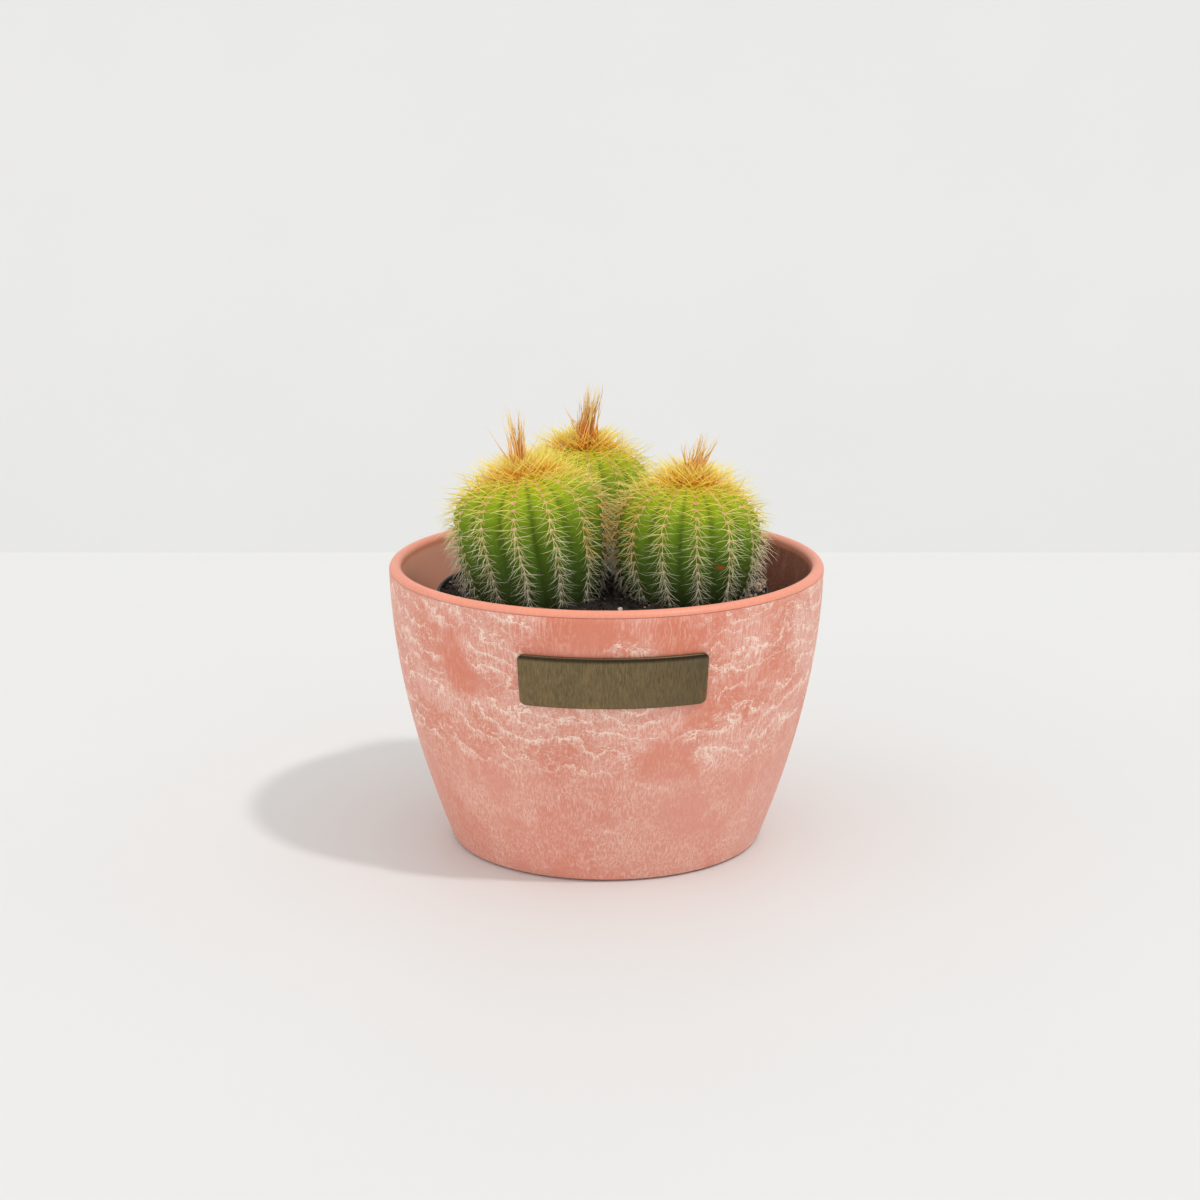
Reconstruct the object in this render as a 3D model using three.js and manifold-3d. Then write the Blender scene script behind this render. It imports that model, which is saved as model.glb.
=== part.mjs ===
// Potted parodia cactus: three ribbed, spiny globes grow from peat in a thin
// grower's pot, which stands inside a stone-effect planter with a bare brass
// plate on its front. Millimetres, +Z up. The origin is on the planter's axis
// at the surface it stands on, and the planter's front faces -Y.

import Module from 'manifold-3d';
import * as THREE from 'three';
import { mergeVertices } from 'three/addons/utils/BufferGeometryUtils.js';

const wasm = await Module();
wasm.setup();

const gap = 0.3; // left between two pieces that touch on the real thing

const planter = {
  height: 83.3,
  rimRadius: 63.5,
  baseRadius: 45.6,
  belly: 1.85, // the wall swells out low down and is nearly upright at the rim
  wall: 3.6,
  floor: 4.5,
  corner: 5, // between the floor and the inner wall
  footRadius: 41, // inside of the ring that it stands on
  footHeight: 1.2,
  edge: 0.8,
  segments: 48,
};

const growPot = {
  x: -1,
  rimRadius: 48.7,
  collarRadius: 48.1, // where the collar starts, under the rim
  collarHeight: 8,
  shoulderRadius: 46.4, // the wall just under the collar
  baseRadius: 36,
  top: 74.5,
  wall: 1,
  floor: 1.2,
  holes: 5,
  holeRadius: 4,
  holeCircle: 24,
  segments: 36,
};

const soil = {
  level: 74,
  edgeDrop: 1, // lower by this at the wall of the grower's pot
  heap: { x: 45, y: -1, height: 3, spread: 6 }, // beside the right head
  rootDepth: 8,
  mouth: 10, // how far above the soil the heads' outlines are cut clear
};

const plaque = {
  from: -22.5, // degrees round the planter, from its front towards +X
  to: 25.8,
  low: 55.8,
  high: 70.6,
  corner: 1.8,
  thickness: 1.1,
  bevel: 0.45,
  flatColumns: 10,
  cornerColumns: 3,
};

const plant = {
  ribs: 13,
  rows: 13, // of areoles, from the soil to the crown
  roundness: 2.3, // of the shoulder: 2 is an ellipse
  furrowAtSoil: 0.05, // depth of the furrows, as a share of the radius
  furrowDepth: 0.13,
  furrowFull: 0.35, // the share of the way up where they are at full depth
  crownRadius: 3.4, // where the ribs end in the crown's wool
  rootTaper: 0.65,
  areoleRadius: 0.5,
  areoleRise: 0.35, // of its middle over the crest
  areoleSlope: 0.15, // of its edge below its middle
  shortSpine: 5.2, // on the lowest areoles
  longSpine: 7.4, // near the crown
  crownRise: 30, // degrees that the spines near the crown stand up further
  spineRadius: 0.3, // at the root, from where a spine narrows to a point
};

// How much each spine is turned, raised and shortened or lengthened at random.
const scatter = { azimuth: 11, rise: 6, length: 0.12, row: 0.1 };

// What a spine keeps clear of, and by how much.
const clear = { soil: 0.6, growPot: 0.8, wall: 0.6, otherHead: 0.5, ownSkin: 0.12, spine: 0.08 };

// How a spine with no room is turned and raised in degrees, and shortened.
const bends = {
  lengths: [1, 0.85, 0.7, 0.55, 0.4, 0.28, 0.18],
  lifts: [0, 9, -7, 18, 27, 38],
  swings: [0, 9, -9, 17, -17],
  steepest: 88,
};

// The crown inside the ribs: rings of points, with how far up each lies from
// the ribs' ends to the top, and how far it is turned.
const crownRings = {
  outer: { count: plant.ribs, radius: 2.3, lift: 0.55, turn: 0 },
  inner: { count: 7, radius: 1.15, lift: 0.85, turn: 0.3 },
};

// The crown's bristles: how much they lean outwards, for each millimetre from
// the middle, and their lengths as shares of the tuft.
const bristles = { spread: 0.3, tuftSpread: 0.12, scatter: 0.04, low: 0.35, high: 0.62, tuftStep: 0.25 };

// One areole's spines, clockwise from the top: which way each points from the
// rib's upward line, how steeply it stands off the skin, and its length.
const fan = [
  { azimuth: 52, rise: 27, length: 0.95 },
  { azimuth: 107, rise: 24, length: 1 },
  { azimuth: 180, rise: 44, length: 1.25 },
  { azimuth: 253, rise: 24, length: 1 },
  { azimuth: 308, rise: 27, length: 0.95 },
];

// Each head: its root's place, its height over the soil at its widest and at
// its crown, how fast it narrows to the root, how its axis leans (from root to
// crown, as a slope towards a compass angle from +X), how many degrees the ribs
// twist on their way down to the soil, and the height and lean of its tuft.
const heads = [
  {
    name: 'head_left',
    x: -21.4,
    y: -6,
    radius: 21.8,
    widest: 23,
    crown: 36,
    taper: 41.6,
    lean: { towards: 180, root: 0, crown: 0.14 },
    firstRib: -9.2,
    twist: 9,
    tuft: { height: 19.2, x: -0.19, y: 0.02 },
    seed: 11,
  },
  {
    name: 'head_right',
    x: 23.4,
    y: -5,
    radius: 20.9,
    widest: 17.5,
    crown: 33.4,
    taper: 29,
    lean: { towards: 0, root: 0, crown: 0.06 },
    firstRib: 4.5,
    twist: 5,
    tuft: { height: 13.8, x: 0.38, y: 0 },
    seed: 23,
  },
  {
    name: 'head_back',
    x: -6.2,
    y: 30,
    radius: 20.3,
    widest: 22.5,
    crown: 36.2,
    taper: 25.4,
    lean: { towards: 96, root: 0.3, crown: 0.03 },
    firstRib: 6,
    twist: -6,
    tuft: { height: 21, x: 0.1, y: 0.03 },
    seed: 37,
  },
];

const radians = THREE.MathUtils.degToRad;
const lerp = THREE.MathUtils.lerp;
const smoothstep = THREE.MathUtils.smoothstep;

// Numbers from 0 to 1 that are the same on every run.
function seededDraw(seed) {
  let state = seed;
  return () => {
    state = (state + 0x6d2b79f5) | 0;
    let mixed = Math.imul(state ^ (state >>> 15), 1 | state);
    mixed = (mixed + Math.imul(mixed ^ (mixed >>> 7), 61 | mixed)) ^ mixed;
    return ((mixed ^ (mixed >>> 14)) >>> 0) / 2 ** 32;
  };
}

// A mesh that is grown point by point, with its triangles seen from outside
// listed clockwise, as the rings below go round.
class Skin {
  points = [];
  triangles = [];

  add(point) {
    this.points.push(point);
    return this.points.length - 1;
  }

  ring(points) {
    return points.map((point) => this.add(point));
  }

  triangle(a, b, c) {
    this.triangles.push(a, c, b);
  }

  // Joins two rings of as many points, the lower one first.
  band(lower, upper) {
    lower.forEach((corner, i) => {
      const next = (i + 1) % lower.length;
      this.triangle(corner, upper[i], upper[next]);
      this.triangle(corner, upper[next], lower[next]);
    });
  }

  cap(ring, middle, facesUp) {
    ring.forEach((corner, i) => {
      const next = ring[(i + 1) % ring.length];
      if (facesUp) this.triangle(corner, middle, next);
      else this.triangle(corner, next, middle);
    });
  }

  geometry() {
    const geometry = new THREE.BufferGeometry().setFromPoints(this.points);
    geometry.setIndex(this.triangles);
    geometry.computeVertexNormals();
    return geometry;
  }
}

// A closed solid through stacked rings, the lowest first, with flat ends.
function loft(rings) {
  const skin = new Skin();
  const stack = rings.map((ring) => skin.ring(ring));
  const middle = (ring) =>
    skin.add(ring.reduce((sum, point) => sum.add(point), new THREE.Vector3()).divideScalar(ring.length));
  for (let i = 1; i < stack.length; i += 1) skin.band(stack[i - 1], stack[i]);
  skin.cap(stack[0], middle(rings[0]), false);
  skin.cap(stack.at(-1), middle(rings.at(-1)), true);
  return skin.geometry();
}

function lathe(profile, segments) {
  const outline = profile.map(([radius, z]) => new THREE.Vector2(radius, z));
  return new THREE.LatheGeometry(outline, segments).rotateX(Math.PI / 2);
}

// Takes each of the tools away from the body.
function carve(body, tools) {
  const solids = [body, ...tools].map((geometry) => {
    const bare = geometry.clone().deleteAttribute('normal').deleteAttribute('uv');
    const merged = mergeVertices(bare, 1e-4);
    return new wasm.Manifold(
      new wasm.Mesh({
        numProp: 3,
        vertProperties: new Float32Array(merged.attributes.position.array),
        triVerts: new Uint32Array(merged.index.array),
      }),
    );
  });
  const cut = solids.reduce((left, tool) => left.subtract(tool)).getMesh();
  const geometry = new THREE.BufferGeometry();
  geometry.setAttribute('position', new THREE.BufferAttribute(cut.vertProperties, 3));
  geometry.setIndex(new THREE.BufferAttribute(cut.triVerts, 1));
  geometry.computeVertexNormals();
  return geometry;
}

// The planter's outer radius at a height.
function planterRadius(z) {
  const swell = (1 - z / planter.height) ** planter.belly;
  return planter.rimRadius - (planter.rimRadius - planter.baseRadius) * swell;
}

function planterShell() {
  const { height, wall, floor, corner, footRadius, footHeight, edge } = planter;
  const lip = wall / 2;
  const profile = [
    [0, footHeight],
    [footRadius, footHeight],
    [footRadius, 0],
    [planter.baseRadius - edge, 0],
  ];
  const outerSteps = 7;
  for (let i = 0; i < outerSteps; i += 1) {
    const z = lerp(edge, height - lip, i / outerSteps);
    profile.push([planterRadius(z), z]);
  }
  const lipSteps = 4;
  for (let i = 0; i <= lipSteps; i += 1) {
    const turn = (Math.PI * i) / lipSteps;
    profile.push([planter.rimRadius - lip + lip * Math.cos(turn), height - lip + lip * Math.sin(turn)]);
  }
  const innerSteps = 4;
  for (let i = 1; i <= innerSteps; i += 1) {
    const z = lerp(height - lip, floor + corner, i / innerSteps);
    profile.push([planterRadius(z) - wall, z]);
  }
  const innerFoot = planterRadius(floor + corner) - wall;
  const cornerBend = corner * 0.3;
  profile.push([innerFoot - cornerBend, floor + cornerBend], [innerFoot - corner, floor], [0, floor]);
  return lathe(profile, planter.segments);
}

// The inside of the grower's pot, from its floor up, drawn in by a margin.
function growPotInside(margin) {
  const floor = planter.floor + gap + growPot.floor;
  const collar = growPot.top - growPot.collarHeight;
  const inset = growPot.wall + margin;
  return [
    [growPot.baseRadius - inset, floor + margin],
    [growPot.shoulderRadius - inset, collar - 1],
    [growPot.collarRadius - inset, collar + 1],
    [growPot.rimRadius - inset, growPot.top],
  ];
}

function growPotShell() {
  const bottom = planter.floor + gap;
  const collar = growPot.top - growPot.collarHeight;
  const profile = [
    [0, bottom],
    [growPot.baseRadius - planter.edge, bottom],
    [growPot.baseRadius, bottom + planter.edge],
    [growPot.shoulderRadius, collar - 1],
    [growPot.collarRadius, collar],
    [growPot.rimRadius, growPot.top],
    ...growPotInside(0).reverse(),
    [0, bottom + growPot.floor],
  ];
  const { holeRadius, holeCircle } = growPot;
  const holes = Array.from({ length: growPot.holes }, (_, i) => {
    const turn = (2 * Math.PI * i) / growPot.holes;
    const hole = new THREE.CylinderGeometry(holeRadius, holeRadius, growPot.floor * 4, 12);
    hole.rotateX(Math.PI / 2);
    return hole.translate(holeCircle * Math.cos(turn), holeCircle * Math.sin(turn), bottom);
  });
  return carve(lathe(profile, growPot.segments), holes);
}

// The height of the soil's surface over the planter's foot.
function soilHeight(x, y) {
  const { heap, level, edgeDrop } = soil;
  const outwards = Math.hypot(x - growPot.x, y) / growPot.rimRadius;
  const heapDistance = Math.hypot(x - heap.x, y - heap.y) / heap.spread;
  return level - edgeDrop * outwards ** 4 + heap.height * Math.exp(-(heapDistance ** 2));
}

function soilBody(grownHeads) {
  const sides = growPotInside(gap);
  const rimInset = sides.pop();
  const circle = (radius, height) =>
    Array.from({ length: growPot.segments }, (_, i) => {
      const turn = (2 * Math.PI * i) / growPot.segments;
      const x = growPot.x + radius * Math.cos(turn);
      const y = radius * Math.sin(turn);
      return new THREE.Vector3(x, y, height ?? soilHeight(x, y));
    });
  const surface = [1, 0.92, 0.8, 0.6, 0.4, 0.2].map((share) => circle((rimInset[0] - gap) * share));
  const body = loft([...sides.map(([radius, z]) => circle(radius, z)), ...surface]);
  return carve(body, grownHeads.map((head) => head.socket()));
}

function plaquePlate() {
  const { from, to, low, high, corner, thickness, bevel, flatColumns, cornerColumns } = plaque;
  const middle = (low + high) / 2;
  const halfHeight = (high - low) / 2;
  const radius = planterRadius(middle);
  const halfWidth = (radians(to - from) * radius) / 2;
  const centre = radians((from + to) / 2);
  const columns = [];
  for (let i = 0; i <= cornerColumns; i += 1) {
    const turn = (Math.PI / 2) * (i / cornerColumns);
    const along = halfWidth - corner + corner * Math.sin(turn);
    columns.push([along, halfHeight - corner + corner * Math.cos(turn)]);
  }
  for (let i = 1; i < flatColumns; i += 1) {
    columns.unshift([(halfWidth - corner) * (1 - (2 * i) / flatColumns), halfHeight]);
  }
  columns.unshift(...columns.slice(-cornerColumns - 1).map(([along, half]) => [-along, half]).reverse());
  const rings = columns.map(([along, half]) => {
    const turn = centre + along / radius;
    const place = (up, out) => {
      const reach = planterRadius(middle + up) + gap + out;
      return new THREE.Vector3(reach * Math.sin(turn), -reach * Math.cos(turn), middle + up);
    };
    const front = half - bevel;
    return [
      place(half, 0),
      place(half, thickness - bevel),
      place(front, thickness),
      place(-front, thickness),
      place(-half, thickness - bevel),
      place(-half, 0),
      place(0, 0),
    ];
  });
  return loft(rings);
}

// The outline of a head from the soil to its crown: a slow taper below the
// widest point and a full, flattened shoulder above it.
class HeadOutline extends THREE.Curve {
  constructor({ radius, widest, crown, taper }) {
    super();
    Object.assign(this, { radius, widest, crown, taper });
    this.firstTurn = -Math.asin(widest / taper);
  }

  getPoint(share, point = new THREE.Vector2()) {
    const turn = lerp(this.firstTurn, Math.PI / 2, share);
    if (turn < 0) return point.set(this.radius * Math.cos(turn), this.widest + this.taper * Math.sin(turn));
    const power = 2 / plant.roundness;
    const out = Math.max(Math.cos(turn), 0) ** power;
    return point.set(this.radius * out, lerp(this.widest, this.crown, Math.sin(turn) ** power));
  }

  // The radius at a height, on the outline let out by a margin.
  radiusAt(height, margin = 0) {
    const above = height - this.widest;
    const radius = this.radius + margin;
    if (above < 0) return radius * Math.sqrt(Math.max(1 - (above / (this.taper + margin)) ** 2, 0));
    const share = Math.min(above / (this.crown + margin - this.widest), 1);
    return radius * (1 - share ** plant.roundness) ** (1 / plant.roundness);
  }
}

class Head {
  constructor(spec) {
    Object.assign(this, spec);
    this.origin = new THREE.Vector3(spec.x, spec.y, soil.level);
    this.outline = new HeadOutline(spec);
    this.draw = seededDraw(spec.seed);
    const towards = radians(spec.lean.towards);
    this.leanTo = new THREE.Vector3(Math.cos(towards), Math.sin(towards), 0);
    this.skin = new Skin();
    this.spines = [];
    const step = 0.002;
    this.lastShare = 1;
    while (this.outline.getPointAt(this.lastShare).x < plant.crownRadius) this.lastShare -= step;
  }

  // The middle of the leaning axis at a height over the soil.
  axis(height) {
    const { root, crown } = this.lean;
    const shift = root * height + ((crown - root) * Math.max(height, 0) ** 2) / (2 * this.crown);
    return this.leanTo.clone().multiplyScalar(shift).setZ(height);
  }

  // How far the rings have turned over with the axis at a height.
  tip(height) {
    return Math.atan(this.lean.crown) * THREE.MathUtils.clamp(height / this.crown, 0, 1);
  }

  // A point at a height, a radius and an angle round the axis from the front.
  place(height, radius, angle) {
    const outwards = new THREE.Vector3(Math.sin(angle), -Math.cos(angle), 0);
    const turnAxis = new THREE.Vector3(-this.leanTo.y, this.leanTo.x, 0);
    outwards.applyAxisAngle(turnAxis, this.tip(height));
    return this.axis(height).addScaledVector(outwards, radius);
  }

  // The angle of a rib round the axis, which turns a little below the widest point.
  ribAngle(rib, height) {
    const below = 1 - THREE.MathUtils.clamp(height / this.widest, 0, 1);
    return radians(this.firstRib + this.twist * below + (360 * rib) / plant.ribs);
  }

  furrow(share) {
    return lerp(plant.furrowAtSoil, plant.furrowDepth, smoothstep(share, 0, plant.furrowFull));
  }

  // A point on the skin: share runs along the outline from the soil to the
  // crown, and rib counts round the head, with the furrows at the halves.
  surface(share, rib) {
    const { x: radius, y: height } = this.outline.getPointAt(share);
    const fromCrest = Math.abs(rib - Math.round(rib)) * 2;
    return this.place(height, radius * (1 - this.furrow(share) * fromCrest), this.ribAngle(rib, height));
  }

  // One ring of the skin, alternately on a rib's crest and in a furrow.
  skinRing(share) {
    return this.skin.ring(Array.from({ length: plant.ribs * 2 }, (_, i) => this.surface(share, i / 2)));
  }

  // The share of the outline up to the foot of a row of areoles.
  rowShare(row) {
    return (this.lastShare * row) / plant.rows;
  }

  // Whether a point in the object's frame lies in the head or within a margin of it.
  holds(point, margin) {
    const local = point.clone().sub(this.origin);
    let height = local.z;
    for (let i = 0; i < 3; i += 1) {
      const fromAxis = local.clone().sub(this.axis(height));
      const tip = this.tip(height);
      height += fromAxis.z * Math.cos(tip) + fromAxis.dot(this.leanTo) * Math.sin(tip);
    }
    const radius = local.distanceTo(this.axis(height));
    return height < this.crown + margin && radius < this.outline.radiusAt(height, margin);
  }

  // What the soil leaves free for the head and its root.
  socket() {
    const stops = [-soil.rootDepth - gap, 0, soil.mouth / 3, (soil.mouth * 2) / 3, soil.mouth];
    const rings = stops.map((height) => {
      const radius = this.outline.radiusAt(Math.max(height, 0)) + gap * 1.5;
      return Array.from({ length: plant.ribs * 2 }, (_, i) =>
        this.place(height, radius, this.ribAngle(i / 2, 0)).add(this.origin),
      );
    });
    return loft(rings);
  }

  grow(neighbours) {
    this.neighbours = neighbours;
    const rows = Array.from({ length: plant.rows + 1 }, (_, row) => this.skinRing(this.rowShare(row)));
    this.growRoot(rows[0]);
    for (let row = 0; row < plant.rows; row += 1) {
      for (let rib = 0; rib < plant.ribs; rib += 1) this.growAreole(row, rib, rows[row], rows[row + 1]);
    }
    this.growCrown(rows.at(-1));
  }

  growRoot(topRing) {
    const soilRadius = this.outline.radiusAt(0);
    const ringAt = (height, share) =>
      this.skin.ring(
        topRing.map((_, i) => this.place(height, soilRadius * share, this.ribAngle(i / 2, height))),
      );
    const middleRing = ringAt(-soil.rootDepth / 2, lerp(1 - plant.furrowAtSoil, plant.rootTaper, 0.3));
    const endRing = ringAt(-soil.rootDepth, plant.rootTaper);
    this.skin.band(middleRing, topRing);
    this.skin.band(endRing, middleRing);
    this.skin.cap(endRing, this.skin.add(this.axis(-soil.rootDepth)), false);
  }

  // One areole, a small five-sided boss on the crest, with a spine on each side,
  // and the skin between it and the corners of its stretch of rib.
  growAreole(row, rib, lower, upper) {
    const around = (ring, half) => ring[(rib * 2 + half + ring.length) % ring.length];
    const corners = [
      around(upper, 0),
      around(upper, 1),
      around(lower, 1),
      around(lower, 0),
      around(lower, -1),
      around(upper, -1),
    ];
    const share = this.rowShare(row + 0.5 + this.scattered(scatter.row));
    const nudge = 0.01;
    const centre = this.surface(share, rib);
    const up = this.surface(share + nudge, rib).sub(this.surface(share - nudge, rib)).normalize();
    const right = this.surface(share, rib + nudge).sub(this.surface(share, rib - nudge));
    right.addScaledVector(up, -right.dot(up)).normalize();
    const out = new THREE.Vector3().crossVectors(right, up);
    centre.addScaledVector(out, plant.areoleRise);
    const across = (azimuth) =>
      up.clone().multiplyScalar(Math.cos(azimuth)).addScaledVector(right, Math.sin(azimuth));
    const foot = centre.clone().addScaledVector(out, -plant.areoleSlope);
    const boss = this.skin.ring(
      fan.map((_, i) =>
        foot.clone().addScaledVector(across((2 * Math.PI * i) / fan.length), plant.areoleRadius),
      ),
    );
    const middle = this.skin.add(centre);
    corners.forEach((corner, i) => {
      this.skin.triangle(corner, corners[(i + 1) % corners.length], boss[i % boss.length]);
      if (i > 0) this.skin.triangle(boss[i - 1], corner, boss[i % boss.length]);
    });
    const upRib = row / (plant.rows - 1);
    const length = lerp(plant.shortSpine, plant.longSpine, smoothstep(upRib, 0.1, 0.8));
    const erect = plant.crownRise * smoothstep(upRib, 0.62, 1);
    fan.forEach((spine, i) => {
      const root = [middle, boss[i], boss[(i + 1) % fan.length]];
      const azimuth = spine.azimuth + this.scattered(scatter.azimuth);
      const rise = spine.rise + erect + this.scattered(scatter.rise);
      const reach = spine.length * length * (1 + this.scattered(scatter.length));
      this.growSpine(root, reach, this.directions(azimuth, rise, across, out));
    });
  }

  // A random number between plus and minus the most.
  scattered(most) {
    return lerp(-most, most, this.draw());
  }

  // The directions that a spine may take, the wanted one first.
  directions(azimuth, rise, across, out) {
    return bends.lifts.flatMap((lift) =>
      bends.swings.map((swing) => {
        const steep = radians(Math.min(rise + lift, bends.steepest));
        const flat = across(radians(azimuth + swing)).multiplyScalar(Math.cos(steep));
        return flat.addScaledVector(out, Math.sin(steep));
      }),
    );
  }

  // Raises a three-sided spine from a triangle of the skin, bent clear of all
  // that stands near it, and shorter where there is no room for it.
  growSpine(root, length, directions) {
    const base = this.middleOf(root);
    for (const shorter of bends.lengths) {
      for (const direction of directions) {
        const end = base.clone().addScaledVector(direction, length * shorter);
        const line = new THREE.Line3(base.clone().add(this.origin), end.clone().add(this.origin));
        if (!this.hasRoom(line) || this.meetsSpine(line, root[0])) continue;
        const point = this.skin.add(end);
        root.forEach((corner, i) => this.skin.triangle(corner, root[(i + 1) % root.length], point));
        this.spines.push({ line, areole: root[0] });
        return;
      }
    }
    this.skin.triangle(root[0], root[1], root[2]);
  }

  middleOf(corners) {
    const sum = corners.reduce((total, i) => total.add(this.skin.points[i]), new THREE.Vector3());
    return sum.divideScalar(corners.length);
  }

  // Whether a spine stands clear of the soil, both pots and every head.
  hasRoom(line) {
    return [0.35, 0.6, 0.8, 1].every((share) => {
      const point = line.at(share, new THREE.Vector3());
      const fromAxis = Math.hypot(point.x, point.y);
      const fromGrowPot = Math.hypot(point.x - growPot.x, point.y);
      const overRim = point.z > planter.height + clear.wall;
      const wallRadius = overRim
        ? planter.rimRadius
        : planterRadius(Math.min(point.z, planter.height)) - planter.wall;
      return (
        point.z > soilHeight(point.x, point.y) + clear.soil &&
        (point.z > growPot.top + clear.growPot || fromGrowPot < growPot.shoulderRadius) &&
        fromAxis < wallRadius - clear.wall &&
        !this.holds(point, clear.ownSkin) &&
        !this.neighbours.some((other) => other.holds(point, clear.otherHead))
      );
    });
  }

  meetsSpine(line, areole) {
    const reach = plant.longSpine * 3;
    const here = new THREE.Vector3();
    const there = new THREE.Vector3();
    const radiusAt = (along, point) =>
      plant.spineRadius * (1 - along.start.distanceTo(point) / along.distance());
    return [this, ...this.neighbours].some((head) =>
      head.spines.some((spine) => {
        if (head === this && spine.areole === areole) return false;
        if (spine.line.start.distanceTo(line.start) > reach) return false;
        const distance = Math.sqrt(line.distanceSqToLine3(spine.line, here, there));
        return distance < radiusAt(line, here) + radiusAt(spine.line, there) + clear.spine;
      }),
    );
  }

  // The crown closes in three rings, and every triangle of the inner two is
  // drawn out into a bristle of the tuft.
  growCrown(edge) {
    const height = this.outline.getPointAt(this.lastShare).y;
    const rise = this.crown - height;
    const ringAt = ({ count, radius, lift, turn }) =>
      this.skin.ring(
        Array.from({ length: count }, (_, i) => {
          const angle = this.ribAngle(0, height) + (2 * Math.PI * (i + turn)) / count;
          return this.place(height + rise * lift, radius, angle);
        }),
      );
    const outer = ringAt(crownRings.outer);
    const inner = ringAt(crownRings.inner);
    const middle = this.skin.add(this.axis(this.crown));
    edge.forEach((corner, i) => {
      const rib = Math.ceil(i / 2) % plant.ribs;
      this.skin.triangle(corner, outer[rib], edge[(i + 1) % edge.length]);
      if (i % 2) this.skin.triangle(corner, outer[(rib + plant.ribs - 1) % plant.ribs], outer[rib]);
    });
    const turnOf = (ring, i) => (i + ring.turn) / ring.count;
    let a = 0;
    let b = 0;
    while (a < outer.length || b < inner.length) {
      const outerIsNext = turnOf(crownRings.outer, a + 1) <= turnOf(crownRings.inner, b + 1);
      const stepOuter = b >= inner.length || (a < outer.length && outerIsNext);
      const from = [outer[a % outer.length], inner[b % inner.length]];
      if (stepOuter) a += 1;
      else b += 1;
      const to = stepOuter ? outer[a % outer.length] : inner[b % inner.length];
      this.growBristle([...from, to], bristles.spread, lerp(bristles.low, bristles.high, this.draw()));
    }
    inner.forEach((corner, i) => {
      const share = 1 - bristles.tuftStep * (i / inner.length);
      this.growBristle([corner, middle, inner[(i + 1) % inner.length]], bristles.tuftSpread, share);
    });
  }

  // A bristle that is a share of the tuft's height, and leans outwards by a
  // spread for each millimetre that it stands from the middle of the crown.
  growBristle(root, spread, share) {
    const outwards = this.middleOf(root).sub(this.axis(this.crown)).setZ(0);
    const direction = new THREE.Vector3(this.tuft.x, this.tuft.y, 1);
    direction.addScaledVector(outwards, spread + this.scattered(bristles.scatter));
    this.growSpine(root, this.tuft.height * share, [direction]);
  }
}

const grownHeads = heads.map((spec) => new Head(spec));
grownHeads.forEach((head) => head.grow(grownHeads.filter((other) => other !== head)));

const object = new THREE.Group();

function addPiece(name, geometry, look, position = new THREE.Vector3()) {
  const piece = new THREE.Mesh(geometry, new THREE.MeshStandardMaterial(look));
  piece.name = name;
  piece.position.copy(position);
  object.add(piece);
}

addPiece('pot', planterShell(), { color: '#dd9a84', roughness: 0.6, metalness: 0 });
const growPotPlace = new THREE.Vector3(growPot.x, 0, 0);
addPiece('nursery_pot', growPotShell(), { color: '#1c1c1d', roughness: 0.55, metalness: 0 }, growPotPlace);
addPiece('soil', soilBody(grownHeads), { color: '#2e2420', roughness: 0.95, metalness: 0 });
addPiece('plaque', plaquePlate(), { color: '#7d6c55', roughness: 0.4, metalness: 0.9 });
const skinLook = { color: '#7f9b2c', roughness: 0.6, metalness: 0 };
grownHeads.forEach((head) => addPiece(head.name, head.skin.geometry(), skinLook, head.origin));

export default object;
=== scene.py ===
from math import asin, atan, cos, hypot, pi, radians, sin, sqrt

import bpy
import numpy as np
from mathutils import Matrix, Vector


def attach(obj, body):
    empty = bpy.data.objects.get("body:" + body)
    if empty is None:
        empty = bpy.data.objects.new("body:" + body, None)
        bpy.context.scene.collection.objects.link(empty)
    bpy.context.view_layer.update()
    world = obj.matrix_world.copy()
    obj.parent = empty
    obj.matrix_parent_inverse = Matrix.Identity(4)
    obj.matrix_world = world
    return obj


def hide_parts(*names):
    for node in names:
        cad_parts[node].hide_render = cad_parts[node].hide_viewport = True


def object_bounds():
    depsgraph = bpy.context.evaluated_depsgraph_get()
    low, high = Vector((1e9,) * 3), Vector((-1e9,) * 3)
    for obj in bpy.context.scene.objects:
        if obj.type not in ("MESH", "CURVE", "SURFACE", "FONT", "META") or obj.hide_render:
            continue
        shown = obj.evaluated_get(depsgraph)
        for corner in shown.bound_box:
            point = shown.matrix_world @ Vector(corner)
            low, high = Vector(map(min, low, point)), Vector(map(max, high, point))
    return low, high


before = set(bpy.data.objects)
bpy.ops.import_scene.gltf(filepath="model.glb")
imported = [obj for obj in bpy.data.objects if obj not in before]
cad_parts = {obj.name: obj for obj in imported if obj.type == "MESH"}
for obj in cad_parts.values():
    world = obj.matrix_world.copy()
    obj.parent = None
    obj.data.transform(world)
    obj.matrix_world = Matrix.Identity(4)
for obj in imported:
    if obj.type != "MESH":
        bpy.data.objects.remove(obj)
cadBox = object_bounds()
scene = bpy.context.scene
mm = 0.001
boxMargin = 0.2 * mm     # how far spines stay inside the box of the CAD
print("frame loaded")


def metres(lengths):
    return tuple(length * mm for length in lengths)


def srgb(red, green, blue):
    # a colour from its screen values, 0 to 255
    shares = [channel / 255 for channel in (red, green, blue)]
    linear = [s / 12.92 if s < 0.04045 else ((s + 0.055) / 1.055) ** 2.4 for s in shares]
    return (*linear, 1)


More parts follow.
